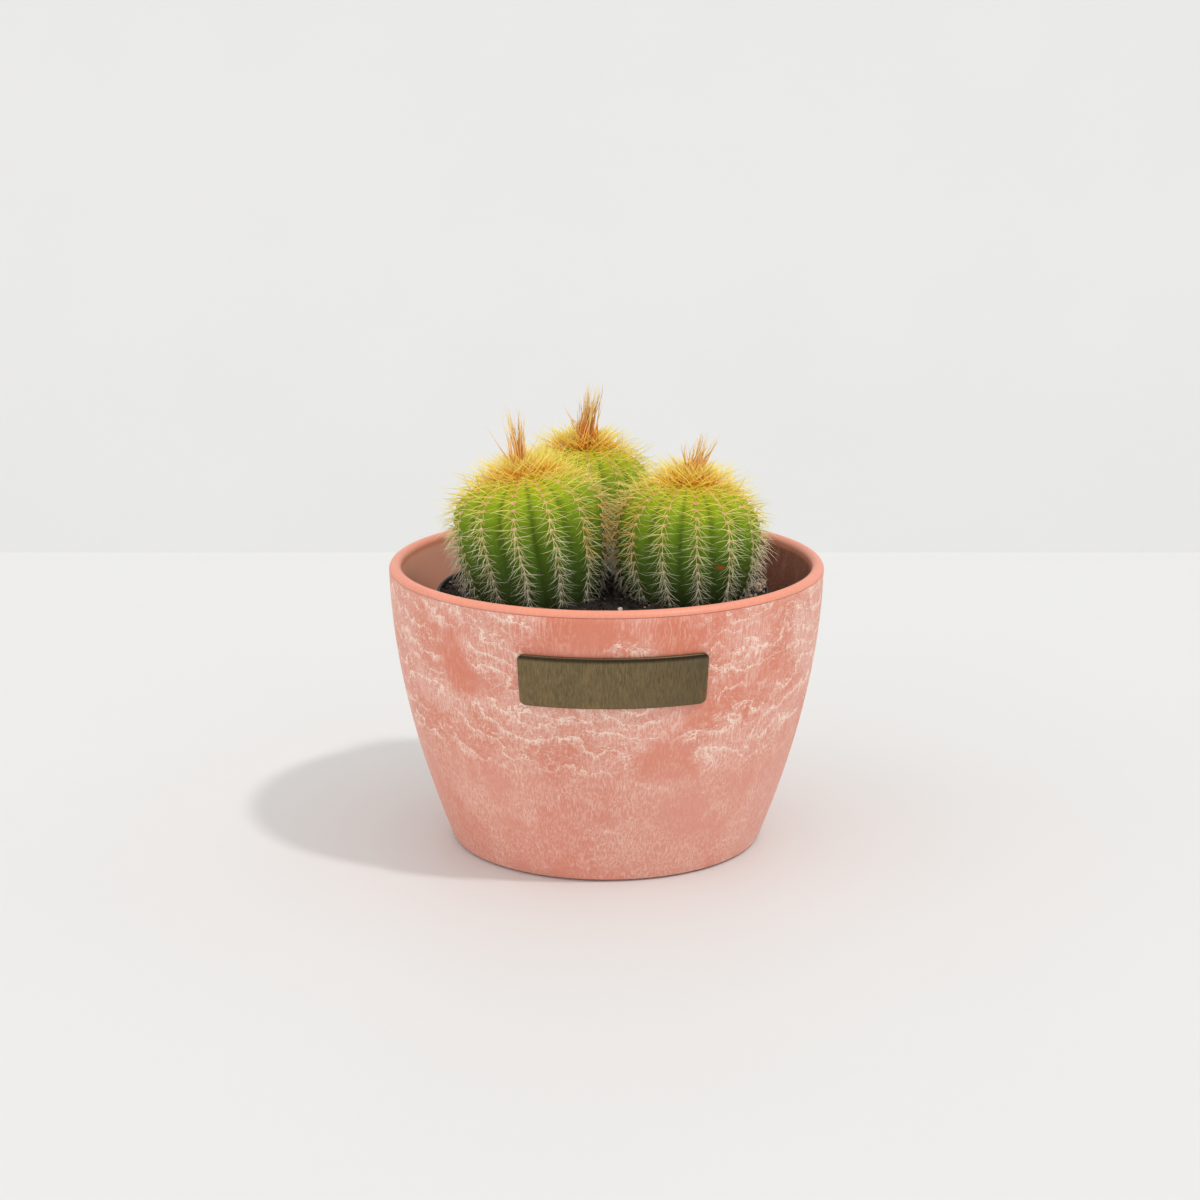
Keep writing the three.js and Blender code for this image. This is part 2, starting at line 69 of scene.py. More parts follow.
class Wire:
    # an output of a node; sums on it become Math nodes
    def __init__(self, graph, socket):
        self.graph = graph
        self.socket = socket

    def other(self, name):
        return Wire(self.graph, self.socket.node.outputs[name])

    def calc(self, operation, *terms):
        return self.graph.math(operation, self, *terms)

    def __add__(self, term):
        return self.calc("ADD", term)

    def __sub__(self, term):
        return self.calc("SUBTRACT", term)

    def __rsub__(self, term):
        return self.graph.math("SUBTRACT", term, self)

    def __mul__(self, term):
        return self.calc("MULTIPLY", term)

    def __truediv__(self, term):
        return self.calc("DIVIDE", term)

    def __pow__(self, term):
        return self.calc("POWER", term)

    def __abs__(self):
        return self.calc("ABSOLUTE")

    __radd__ = __add__
    __rmul__ = __mul__


class Graph:
    # a node tree that is built by naming nodes, what feeds them and their settings
    def __init__(self, tree):
        self.tree = tree
        tree.nodes.clear()

    def node(self, kind, values=None, out=0, **settings):
        made = self.tree.nodes.new(kind)
        for name, value in settings.items():
            setattr(made, name, value)
        for name, value in (values or {}).items():
            if isinstance(value, Wire):
                self.tree.links.new(value.socket, made.inputs[name])
            else:
                made.inputs[name].default_value = value
        return Wire(self, made.outputs[out]) if len(made.outputs) else None

    def math(self, operation, *terms):
        return self.node("ShaderNodeMath", dict(enumerate(terms)), operation=operation)

    def vector(self, operation, *terms):
        out = "Value" if operation in ("DISTANCE", "LENGTH", "DOT_PRODUCT") else "Vector"
        return self.node("ShaderNodeVectorMath", dict(enumerate(terms)), out, operation=operation)

    def scaled(self, vector, factor):
        return self.node("ShaderNodeVectorMath", {"Vector": vector, "Scale": factor}, operation="SCALE")

    def part(self, vector, axis):
        return self.node("ShaderNodeSeparateXYZ", {0: vector}, axis)

    def join(self, x=0.0, y=0.0, z=0.0):
        return self.node("ShaderNodeCombineXYZ", {"X": x, "Y": y, "Z": z})

    def span(self, value, fromLow, fromHigh, toLow=0.0, toHigh=1.0, smooth=True):
        # value's place between two marks, carried over to another pair
        marks = dict(enumerate((value, fromLow, fromHigh, toLow, toHigh)))
        style = "SMOOTHSTEP" if smooth else "LINEAR"
        return self.node("ShaderNodeMapRange", marks, interpolation_type=style)


class Finish(Graph):
    # a material, read on the piece's own coordinates
    def __init__(self, name):
        self.material = bpy.data.materials.new(name)
        self.material.use_nodes = True
        super().__init__(self.material.node_tree)
        self.place = self.node("ShaderNodeTexCoord", out="Object")

    def noise(self, scale, detail=3.0, roughness=0.5, place=None, stretch=1, out="Fac"):
        # scale is how many waves there are to a metre, and stretch a factor on it upwards
        place = place or self.place
        if stretch != 1:
            place = self.vector("MULTIPLY", place, (1, 1, stretch))
        values = {"Vector": place, "Scale": scale, "Detail": detail, "Roughness": roughness}
        return self.node("ShaderNodeTexNoise", values, out)

    def patches(self, low, high, *values, **more):
        # where the noise lies above a level, from the low one on to the high one
        return self.span(self.noise(*values, **more), low, high)

    def attribute(self, name):
        return self.node("ShaderNodeAttribute", out="Fac", attribute_name=name)

    def blend(self, factor, *ends):
        # an end given as three numbers is a colour on the screen
        first, second = (srgb(*end) if isinstance(end, tuple) and len(end) == 3 else end for end in ends)
        return self.node("ShaderNodeMix", {0: factor, 6: first, 7: second}, 2, data_type="RGBA")

    def ramp(self, factor, stops):
        # each stop is its mark and its colour on the screen
        made = self.node("ShaderNodeValToRGB", {"Fac": factor})
        elements = made.socket.node.color_ramp.elements
        while len(elements) < len(stops):
            elements.new(0.5)
        for element, (mark, colour) in zip(elements, stops):
            element.position = mark
            element.color = srgb(*colour)
        return made

    def bump(self, height, distance, strength=1.0):
        return self.node("ShaderNodeBump", {"Height": height, "Distance": distance, "Strength": strength})

    def shade(self, **values):
        values = {name.replace("_", " "): value for name, value in values.items()}
        surface = self.node("ShaderNodeBsdfPrincipled", values)
        self.node("ShaderNodeOutputMaterial", {"Surface": surface})
        return self.material


class Growth(Graph):
    # a Geometry Nodes tree with a seed, a material and the inputs given by type or by a value
    kinds = {
        int: "NodeSocketInt", float: "NodeSocketFloat", tuple: "NodeSocketVector",
        bpy.types.Object: "NodeSocketObject", bpy.types.Material: "NodeSocketMaterial",
    }
    drawsPerSeed = 50

    def __init__(self, name, inputs):
        tree = bpy.data.node_groups.new(name, "GeometryNodeTree")
        super().__init__(tree)
        self.identifiers = {}
        tree.interface.new_socket("Geometry", in_out="INPUT", socket_type="NodeSocketGeometry")
        for label, value in {**inputs, "Seed": int, "Material": bpy.types.Material}.items():
            kind = self.kinds[value if isinstance(value, type) else type(value)]
            socket = tree.interface.new_socket(label, in_out="INPUT", socket_type=kind)
            self.identifiers[label] = socket.identifier
        tree.interface.new_socket("Geometry", in_out="OUTPUT", socket_type="NodeSocketGeometry")
        self.given = self.node("NodeGroupInput").other

    def attribute(self, name, kind="FLOAT"):
        return self.node("GeometryNodeInputNamedAttribute", {"Name": name}, data_type=kind)

    def store(self, geometry, name, value, kind="FLOAT"):
        values = {"Geometry": geometry, "Name": name, "Value": value}
        return self.node("GeometryNodeStoreNamedAttribute", values, data_type=kind)

    def random(self, low, high, draw):
        # draw sets this random number apart from the tree's others
        seed = self.given("Seed") * self.drawsPerSeed + draw
        return self.node("FunctionNodeRandomValue", {2: low, 3: high, "Seed": seed}, 1)

    def scatter(self, points, shape, rotation, scale):
        # a copy of the shape on each point, as the tree's result
        values = {"Points": points, "Instance": shape, "Rotation": rotation, "Scale": scale}
        placed = self.node("GeometryNodeInstanceOnPoints", values)
        real = self.node("GeometryNodeRealizeInstances", {"Geometry": placed})
        values = {"Geometry": real, "Material": self.given("Material")}
        self.node("NodeGroupOutput", {"Geometry": self.node("GeometryNodeSetMaterial", values)})
        return self

    def grow(self, name, holder, seed, material, values):
        # runs the tree on the holder's mesh and keeps the result as a plain mesh
        modifier = holder.modifiers.new(name, "NODES")
        modifier.node_group = self.tree
        for label, value in {**values, "Seed": seed, "Material": material}.items():
            modifier[self.identifiers[label]] = value
        evaluated = holder.evaluated_get(bpy.context.evaluated_depsgraph_get())
        mesh = bpy.data.meshes.new_from_object(evaluated)
        holder.modifiers.remove(modifier)
        return makePiece(name, mesh)


def makePiece(name, mesh):
    mesh.name = name
    piece = bpy.data.objects.new(name, mesh)
    scene.collection.objects.link(piece)
    return piece


def makeMesh(name, points, faces=(), *materials):
    mesh = bpy.data.meshes.new(name)
    mesh.from_pydata([tuple(p) for p in points], [], faces)
    for material in materials:
        mesh.materials.append(material)
    mesh.shade_smooth()
    mesh.update()
    return mesh


def bands(rings, count, first=0):
    # the faces between closed rings of count points each, one ring after the other
    faces = []
    for low in range(first, first + (rings - 1) * count, count):
        high = low + count
        for i in range(count):
            j = (i + 1) % count
            faces.append((low + i, high + i, high + j, low + j))
    return faces


def turns(whole, steps):
    # equal steps of an angle, from none to the whole
    return [whole * i / steps for i in range(steps + 1)]


def addNumbers(mesh, name, values, kind="FLOAT"):
    attribute = mesh.attributes.new(name, kind, "POINT")
    field = "value" if kind == "FLOAT" else "vector"
    attribute.data.foreach_set(field, np.asarray(values, np.float32).ravel())


def smoothstep(value, low, high):
    share = np.clip((value - low) / (high - low), 0, 1)
    return share * share * (3 - 2 * share)


def lathe(name, profile, segments, *materials):
    # profile is a list of (radius, height, material index) in mm, from the
    # axis under the piece out and round to the axis again, with no point twice
    rings, points = [], []
    for radius, height, _ in profile:
        count = segments if radius else 1
        rings.append(range(len(points), len(points) + count))
        for turn in turns(2 * pi, segments)[:count]:
            points.append((radius * mm * cos(turn), radius * mm * sin(turn), height * mm))
    faces, paints = [], []
    for lower, upper, (_, _, paint) in zip(rings, rings[1:], profile[1:]):
        for i in range(segments):
            corners = ((lower, i), (lower, i + 1), (upper, i + 1), (upper, i))
            faces.append(tuple(dict.fromkeys(ring[k % len(ring)] for ring, k in corners)))
            paints.append(paint)
    mesh = makeMesh(name, points, faces, *materials)
    mesh.polygons.foreach_set("material_index", paints)
    return mesh


# camera, fitted to the rim and the foot of the planter
cameraSpec = {"lens": 73.65, "sensor": 36, "place": (-0.001885, -0.70065, 0.24665), "pitch": 75.912}
camera = bpy.data.objects.new("camera", bpy.data.cameras.new("camera"))
scene.collection.objects.link(camera)
camera.data.lens = cameraSpec["lens"]
camera.data.sensor_width = cameraSpec["sensor"]
camera.location = cameraSpec["place"]
camera.rotation_euler = (radians(cameraSpec["pitch"]), 0, 0)
scene.camera = camera
print("camera set")


# room: a pale table that ends behind the part, and a pale wall well back, clear of
# a camera that looks from behind
room = {
    "tableEnd": 0.37, "wallAt": 1.6, "half": 3.0, "table": (226, 226, 225), "wall": (234, 234, 233),
    "mottle": 0.975,
}


def buildRoom():
    half, end, wallAt = room["half"], room["tableEnd"], room["wallAt"]
    surfaces = {
        "table": [(-half, -half, 0), (half, -half, 0), (half, end, 0), (-half, end, 0)],
        "wall": [(-half, wallAt, -half), (half, wallAt, -half), (half, wallAt, half), (-half, wallAt, half)],
    }
    for name, corners in surfaces.items():
        finish = Finish(name)
        colour = srgb(*room[name])
        darker = (*(c * room["mottle"] for c in colour[:3]), 1)
        paint = finish.blend(finish.noise(9, 2), darker, colour)
        material = finish.shade(Base_Color=paint, Roughness=0.55, Specular_IOR_Level=0.25)
        makePiece(name, makeMesh(name, corners, [(0, 1, 2, 3)], material))


buildRoom()
print("room built")


# light: a soft sun from the right in front, a broad low fill from the left, and
# pale light from all round
lights = {
    "world": (1.0, 1.0, 1.0), "worldStrength": 0.84, "suns": {
        "key": {"from": (0.4765, -0.2783, 0.834), "angle": 4.5, "strength": 1.0, "colour": (1.0, 0.98, 0.95)},
        "fill": {"from": (-0.85, -0.5, 0.2), "angle": 90.0, "strength": 0.55, "colour": (1.0, 0.99, 0.97)},
    },
}


def lightScene():
    world = bpy.data.worlds.new("air")
    scene.world = world
    world.use_nodes = True
    air = world.node_tree.nodes["Background"]
    air.inputs["Color"].default_value = (*lights["world"], 1)
    air.inputs["Strength"].default_value = lights["worldStrength"]
    for name, lamp in lights["suns"].items():
        sun = bpy.data.lights.new(name, "SUN")
        sun.energy = lamp["strength"]
        sun.angle = radians(lamp["angle"])
        sun.color = lamp["colour"]
        holder = bpy.data.objects.new(name, sun)
        scene.collection.objects.link(holder)
        holder.rotation_euler = Vector(lamp["from"]).to_track_quat("Z", "Y").to_euler()
    scene.view_settings.view_transform = "Standard"
    scene.view_settings.look = "None"


lightScene()
print("lights set")


# planter: one moulded wall, marbled outside and plain inside and on the lip; the last
# three are the marks between which the plain wall changes to its inside paint, which is painted light, and
# from where painted shade darkens the inside towards the right
planter = {
    "height": 83.3, "rimRadius": 63.5, "baseRadius": 45.6, "belly": 1.85, "wall": 3.6,
    "floor": 4.5, "corner": 5.0, "footRadius": 41.0, "footHeight": 1.2, "edge": 0.8,
    "gap": 0.65, "recess": 1.8, "lipLine": 81.6, "lineDepth": 0.22, "lineWidth": 0.25,
    "segments": 192, "insideBelow": (81.3, 79.8), "insideWithin": (62.2, 61.5), "insideShadeFrom": (-30, 45),
}


def planterRadius(z):
    swell = max(1 - z / planter["height"], 0) ** planter["belly"]
    return planter["rimRadius"] - (planter["rimRadius"] - planter["baseRadius"]) * swell


# the marbling, in mm: the spacing, fall and warp of its lines, the spots on the wall that
# hold more or fewer of them, and its colours
marbling = {
    "strataSpacing": 6.5, "fall": 0.4, "fallFrom": -12.0, "upper": (30, 44), "warp": 20.0, "waver": 3.0,
    "busy": [((-52, -25, 68), 22), ((-8, -55, 47), 30), ((54, -22, 66), 26)],
    "clear": [((-10, -60, 76), 17), ((-40, -45, 61), 13), ((18, -60, 75), 10), ((17, -54, 42), 11)],
    "core": 0.4, "orange": (214, 122, 94), "salmon": (219, 142, 121), "pink": (231, 172, 157),
    "cream": (255, 224, 206),
}


def marbledFinish():
    # salmon with crinkled cream lines that fringe downwards, over fine upright fibres
    finish = Finish("marbled")
    height = finish.part(finish.place, "Z")
    aside = height.other("X")

    def spots(places):
        # 1 in the middle of each spot and 0 outside them all
        total = None
        for centre, radius in places:
            away = finish.vector("DISTANCE", bent, metres(centre))
            spot = finish.span(away, radius * marbling["core"] * mm, radius * mm, 1.0, 0.0)
            total = spot if total is None else total.calc("MAXIMUM", spot)
        return total

    warp = finish.vector("SUBTRACT", finish.noise(42, 5, 0.6, out="Color"), (0.5, 0.5, 0.5))
    bent = finish.vector("ADD", finish.place, finish.scaled(warp, marbling["warp"] * mm))
    busy, clear = spots(marbling["busy"]), spots(marbling["clear"])
    upper = finish.span(height, *metres(marbling["upper"]))

    broad = finish.noise(24, 2, 0.5, place=bent)
    folds = finish.noise(75, 4, 0.6, place=bent, stretch=1.4)
    crinkle = finish.noise(480, 4, 0.7, stretch=1.3)
    # at the left the lines fall towards the plate
    fall = aside.calc("MINIMUM", marbling["fallFrom"] * mm) * marbling["fall"]
    strata = (height + fall) / (marbling["strataSpacing"] * mm) + broad * 5 + folds * 3 + crinkle * 0.42
    step = strata.calc("FRACT")
    waver = finish.scaled(finish.noise(110, 2, 0.5, out="Color"), marbling["waver"] * mm)
    wavy = finish.vector("ADD", finish.place, waver)
    fibre = finish.noise(2300, 3, 0.65, place=wavy, stretch=0.10)
    fibres = finish.span(fibre, 0.47, 0.58)
    edge = finish.span(step, 0.91, 0.985) * finish.span(step, 1.0, 0.992)
    fringe = finish.span(step * 1.15 + fibre * 0.9, 1.22, 1.58) * finish.span(step, 1.0, 0.97)

    lace = finish.noise(85, 4, 0.6, place=bent, stretch=1.9) * 9 + crinkle * 0.75
    loop = lace.calc("FRACT")
    threads = 1 - finish.span(abs(loop - 0.5), 0.02, 0.085)
    tangle = finish.noise(230, 5, 0.7, stretch=1.5) + crinkle * 0.06
    mesh = 1 - finish.span(abs(tangle - 0.53), 0.0, 0.022)

    share = finish.patches(0.34, 0.52, 40, 3, 0.55, stretch=1.6)
    where = (share * 0.9).calc("MAXIMUM", busy) * (1 - clear * 0.95)
    patchy = finish.patches(0.36, 0.56, 120, 3, 0.6)
    wisps = edge * 0.95 + fringe * 0.8 * patchy + threads * (0.95 - patchy * 0.6) + mesh * 0.55
    wisps = wisps * where * (0.10 + 0.90 * upper)
    haze = finish.patches(0.40, 0.60, 60, 5, 0.65, place=bent)
    calm = haze * (0.2 + 0.5 * upper) + 0.5 - 0.25 * upper
    veil = calm * (1 - clear * 0.9) * (0.4 + 0.6 * fibres)
    streak = finish.patches(0.49, 0.6, 2600, 3, 0.6, place=wavy, stretch=0.045)
    streaky = finish.patches(0.42, 0.58, 95, 4, 0.6, stretch=0.55)
    fluff = finish.patches(0.48, 0.72, 1500, 4, 0.7, stretch=0.5)

    warm = finish.patches(0.38, 0.6, 28, 3, 0.55)
    base = finish.blend(warm * 0.7 + 0.3 * (1 - upper), marbling["orange"], marbling["salmon"])
    base = finish.blend(finish.span(veil, 0.0, 1.0, smooth=False), base, marbling["pink"])
    pale = wisps + fluff * 0.05 + fibres * haze * 0.22
    pale = pale + streak * streaky * (0.34 - 0.12 * upper) * (1 - clear * 0.85)
    paint = finish.blend(finish.span(pale, 0.02, 1.05, smooth=False), base, marbling["cream"])
    relief = finish.bump(pale, 0.00012, 0.6)
    return finish.shade(Base_Color=paint, Roughness=0.5 + 0.12 * pale, Normal=relief)


def plainFinish():
    # bright and satin on the lip; inside, paler than the lip as painted light, with painted shade darkening
    # it towards the right
    finish = Finish("plainWall")
    cloud = finish.noise(60, 4, 0.6)
    grain = finish.noise(1400, 3, 0.6)
    scuff = finish.patches(0.45, 0.7, 220, 5, 0.7, stretch=0.4)
    reach = finish.vector("LENGTH", finish.vector("MULTIPLY", finish.place, (1, 1, 0)))
    height = finish.part(finish.place, "Z")

    def ramped(value, key):
        return finish.span(value, *metres(planter[key]))

    inside = ramped(height, "insideBelow") * ramped(reach, "insideWithin")
    bright = finish.blend(cloud, (230, 142, 114), (238, 154, 128))
    # the inside is painted paler than the lip: painted light
    insideLightAndShade = finish.blend(cloud, (246, 166, 140), (255, 188, 164))
    # darker towards the right of the inside: painted shade
    insideShade = finish.blend(cloud, (150, 88, 70), (176, 106, 86))
    insideLightAndShade = finish.blend(ramped(height.other("X"), "insideShadeFrom"), insideLightAndShade, insideShade)
    insideLightAndShade = finish.blend(scuff * 0.3, insideLightAndShade, (236, 186, 168))
    paint = finish.blend(inside, bright, insideLightAndShade)
    paint = finish.blend(finish.span(grain, 0.45, 0.7) * 0.2, paint, (250, 190, 166))
    relief = finish.bump(grain, 0.00006, 0.5)
    return finish.shade(Base_Color=paint, Roughness=0.42 + 0.3 * inside, Normal=relief)


def buildPlanter():
    p = planter
    outside, plain = 0, 1
    lip, foot, line = p["wall"] / 2, p["baseRadius"] - p["recess"], p["lipLine"]
    top = p["height"] - lip
    profile = [
        (0, p["footHeight"], plain), (p["footRadius"] - 0.5, p["footHeight"], plain),
        (p["footRadius"], p["footHeight"] - 0.5, plain), (p["footRadius"] + 0.3, 0, plain),
        (foot, 0, plain), (foot, p["gap"], plain),
    ]
    for turn in turns(pi / 2, 4):
        radius = planterRadius(p["edge"]) - p["edge"] * (1 - sin(turn)) / 2
        profile.append((radius, p["gap"] + (p["edge"] - p["gap"]) * (1 - cos(turn)), outside))
    for z in np.linspace(p["edge"], line - p["lineWidth"], 44)[1:]:
        profile.append((planterRadius(z), z, outside))
    groove = planterRadius(line) - p["lineDepth"]
    profile += [(groove, line, outside), (groove, line + 0.05, plain)]
    profile.append((planterRadius(line), line + p["lineWidth"], plain))
    for turn in turns(pi, 12):
        profile.append((p["rimRadius"] - lip + lip * cos(turn), top + lip * sin(turn), plain))
    low = p["floor"] + p["corner"]
    for z in np.linspace(top, low, 30)[1:]:
        profile.append((planterRadius(z) - p["wall"], z, plain))
    inner = planterRadius(low) - p["wall"]
    for turn in turns(pi / 2, 6)[1:]:
        profile.append((inner - p["corner"] * (1 - cos(turn)), low - p["corner"] * sin(turn), plain))
    profile.append((0, p["floor"], plain))
    profile = [point for i, point in enumerate(profile) if i == 0 or point[:2] != profile[i - 1][:2]]
    mesh = lathe("planter_wall", profile, p["segments"], marbledFinish(), plainFinish())
    piece = makePiece("planter_wall", mesh)
    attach(piece, "root")
    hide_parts("pot")


buildPlanter()
print("planter built")


# grower's pot: thin black shell with a rolled rim
growPot = {
    "x": -1.0, "rimRadius": 48.7, "collarRadius": 48.1, "collarHeight": 8.0, "shoulderRadius": 46.4,
    "baseRadius": 36.0, "bottom": 4.8, "top": 74.5, "wall": 1.0, "floor": 1.2, "segments": 144,
}


def blackPlastic():
    finish = Finish("blackPlastic")
    scuff = finish.noise(500, 4, 0.6)
    dust = finish.patches(0.5, 0.75, 90, 5, 0.65)
    paint = finish.blend(dust * 0.35, (24, 24, 26), (78, 70, 62))
    return finish.shade(Base_Color=paint, Roughness=0.42 + 0.2 * scuff)


def buildGrowPot():
    g = growPot
    collar, wall, lip = g["top"] - g["collarHeight"], g["wall"], g["wall"] / 2
    profile = [
        (0, g["bottom"]), (g["baseRadius"] - 0.8, g["bottom"]), (g["baseRadius"], g["bottom"] + 0.8),
        (g["shoulderRadius"], collar - 1), (g["collarRadius"], collar), (g["rimRadius"], g["top"] - 1.2),
    ]
    for turn in turns(pi, 6):
        profile.append((g["rimRadius"] - lip + lip * cos(turn), g["top"] - lip + lip * sin(turn)))
    profile += [
        (g["collarRadius"] - wall, collar + 1), (g["shoulderRadius"] - wall, collar - 1),
        (g["baseRadius"] - wall, g["bottom"] + g["floor"]), (0, g["bottom"] + g["floor"]),
    ]
    mesh = lathe("grow_pot_shell", [(r, z, 0) for r, z in profile], g["segments"], blackPlastic())
    mesh.transform(Matrix.Translation((g["x"] * mm, 0, 0)))
    piece = makePiece("grow_pot_shell", mesh)
    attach(piece, "root")
    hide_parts("nursery_pot")


buildGrowPot()
print("grower's pot built")


# plate: thin brass, bent round the planter, with a soft bevel and nothing on it; the
# edge shade, a dark band of painted shadow and reflection, is how far under the top edge it starts, is full,
# fades and ends
plate = {
    "from": -22.5, "to": 25.8, "low": 55.8, "high": 70.6, "corner": 1.8, "thickness": 1.07,
    "bevel": 0.55, "gap": 0.3, "flatColumns": 60, "cornerColumns": 8, "bevelSteps": 4,
    "darkerFrom": (4, 28), "edgeShade": (1.9, 0.7, 0.35, 0.1),
}


def brassFinish():
    # brushed upright, with a dark band of painted shadow and reflection under the top edge, and darker
    # towards the right
    finish = Finish("antiqueBrass")
    height = finish.part(finish.place, "Z")
    brush = finish.noise(4200, 3, 0.65, stretch=0.006)
    cloud = finish.noise(75, 4, 0.6)
    worn = finish.patches(0.50, 0.72, 140, 4, 0.62, stretch=0.5)
    paint = finish.blend(finish.span(brush, 0.32, 0.68), (98, 84, 57), (134, 116, 83))
    paint = finish.blend(finish.span(cloud, 0.4, 0.65) * 0.35, paint, (120, 106, 84))
    paint = finish.blend(worn * 0.35, paint, (168, 136, 84))
    darker = finish.span(height.other("X"), *metres(plate["darkerFrom"]))
    paint = finish.blend(darker * 0.4, paint, (76, 66, 50))
    # a dark band under the top edge: painted shadow and reflection
    starts, full, fades, ends = metres(plate["high"] - mark for mark in plate["edgeShade"])
    rim = finish.span(height, starts, full) * finish.span(height, ends, fades)
    paint = finish.blend(rim * 0.85, paint, (38, 28, 20))
    relief = finish.bump(brush, 0.00004, 0.7)
    return finish.shade(Base_Color=paint, Metallic=0.85, Roughness=0.36 + 0.16 * cloud, Normal=relief)


def buildPlate():
    p = plate
    middle, halfHeight = (p["low"] + p["high"]) / 2, (p["high"] - p["low"]) / 2
    radius = planterRadius(middle)
    halfWidth = radians(p["to"] - p["from"]) * radius / 2
    centre = radians((p["from"] + p["to"]) / 2)
    flat = halfWidth - p["corner"]
    ends = []
    for turn in turns(pi / 2, p["cornerColumns"]):
        rounded = halfHeight - p["corner"] + p["corner"] * cos(turn)
        ends.append((flat + p["corner"] * sin(turn), rounded))
    flats = np.linspace(-flat, flat, p["flatColumns"] + 1)[1:-1]
    columns = [(-along, half) for along, half in reversed(ends)]
    columns += [(along, halfHeight) for along in flats] + ends
    # a section through the plate: back edge, bevel, face, bevel, back edge
    bevel = [(-1, 1 - cos(turn), sin(turn)) for turn in turns(pi / 2, p["bevelSteps"])]
    section = [(-1, 0, 0)] + bevel + [(share, 1, 1) for share in (-0.5, 0, 0.5)]
    section += [(1, inset, rise) for _, inset, rise in reversed(bevel)] + [(1, 0, 0)]
    points = []
    for along, half in columns:
        turn = centre + along / radius
        easing = min((halfWidth - abs(along)) / p["bevel"], 1)
        fall = 1 - sqrt(1 - (1 - easing) ** 2)
        for side, inset, rise in section:
            up = (half - inset * min(p["bevel"], half)) * side
            lift = p["thickness"] - p["bevel"] + p["bevel"] * rise if (inset or rise) else 0
            reach = planterRadius(middle + up) + p["gap"] + lift - p["bevel"] * fall * rise
            points.append((reach * sin(turn) * mm, -reach * cos(turn) * mm, (middle + up) * mm))
    count = len(section)
    last = len(points) - count
    faces = bands(len(columns), count) + [tuple(range(count)), tuple(reversed(range(last, last + count)))]
    piece = makePiece("brass_plate", makeMesh("brass_plate", points, faces, brassFinish()))
    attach(piece, "root")
    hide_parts("plaque")


buildPlate()
print("plate built")


# soil: dark peat with crumbs, pale grit and a small heap of grit at the right; the
# heap is its place, its rise and its spread
soil = {
    "level": 74.0, "edgeDrop": 1.0, "heap": (45.0, -1.0, 3.0, 6.0), "depth": 6.0,
    "radius": 47.3, "rings": 60, "spokes": 180, "rough": 0.55, "waves": 70, "lumps": 0.28, "draft": 1.5,
    "topWithin": 3, "strayGrit": 0.012, "heapEdge": 1.6,
}


def heapAt(x, y, edge=1.0):
    # 1 in the middle of the grit heap, falling to 0 round it
    heapX, heapY, _, spread = soil["heap"]
    away = np.hypot(x - heapX, y - heapY) / spread
    return np.exp(-(away**2) * edge)


def soilHeight(x, y):
    # the height of the soil in mm, without its crumbs
    outwards = np.hypot(x - growPot["x"], y) / growPot["rimRadius"]
    return soil["level"] - soil["edgeDrop"] * outwards**4 + soil["heap"][2] * heapAt(x, y)


# the plant's ribbed heads: the root's place, the height over the soil at the widest
# and at the crown, how fast a head narrows to its root, and how its axis leans;
# roots are the depths under the soil, each with its share of the radius there
plant = {
    "ribs": 13, "roundness": 2.3, "furrowAtSoil": 0.05, "furrowDepth": 0.135, "furrowFull": 0.35,
    "furrowShape": 2.3, "roots": ((8.0, 0.65), (4.0, 0.84)), "rows": 96, "columns": 14, "areoleSpacing": 2.65,
    "tubercle": 0.28, "nudge": (0.004, 0.02),
    "crownRadius": 7.7, "crownRings": (7.5, 6.4, 5.3, 4.3, 3.2, 2.1, 1.1),
}
headSpecs = {
    "left": {
        "node": "head_left", "x": -21.4, "y": -6.0, "radius": 21.8, "widest": 23.0, "crown": 36.0,
        "taper": 41.6, "towards": 180, "rootLean": 0.0, "crownLean": 0.14, "firstRib": -9.2, "twist": 9.0,
        "seed": 11,
    },
    "right": {
        "node": "head_right", "x": 23.4, "y": -5.0, "radius": 20.9, "widest": 17.5, "crown": 33.4,
        "taper": 29.0, "towards": 0, "rootLean": 0.0, "crownLean": 0.06, "firstRib": 4.5, "twist": 5.0,
        "seed": 23,
    },
    "back": {
        "node": "head_back", "x": -6.2, "y": 30.0, "radius": 20.3, "widest": 22.5, "crown": 36.2,
        "taper": 25.4, "towards": 96, "rootLean": 0.3, "crownLean": 0.03, "firstRib": 6.0, "twist": -6.0,
        "seed": 37,
    },
}


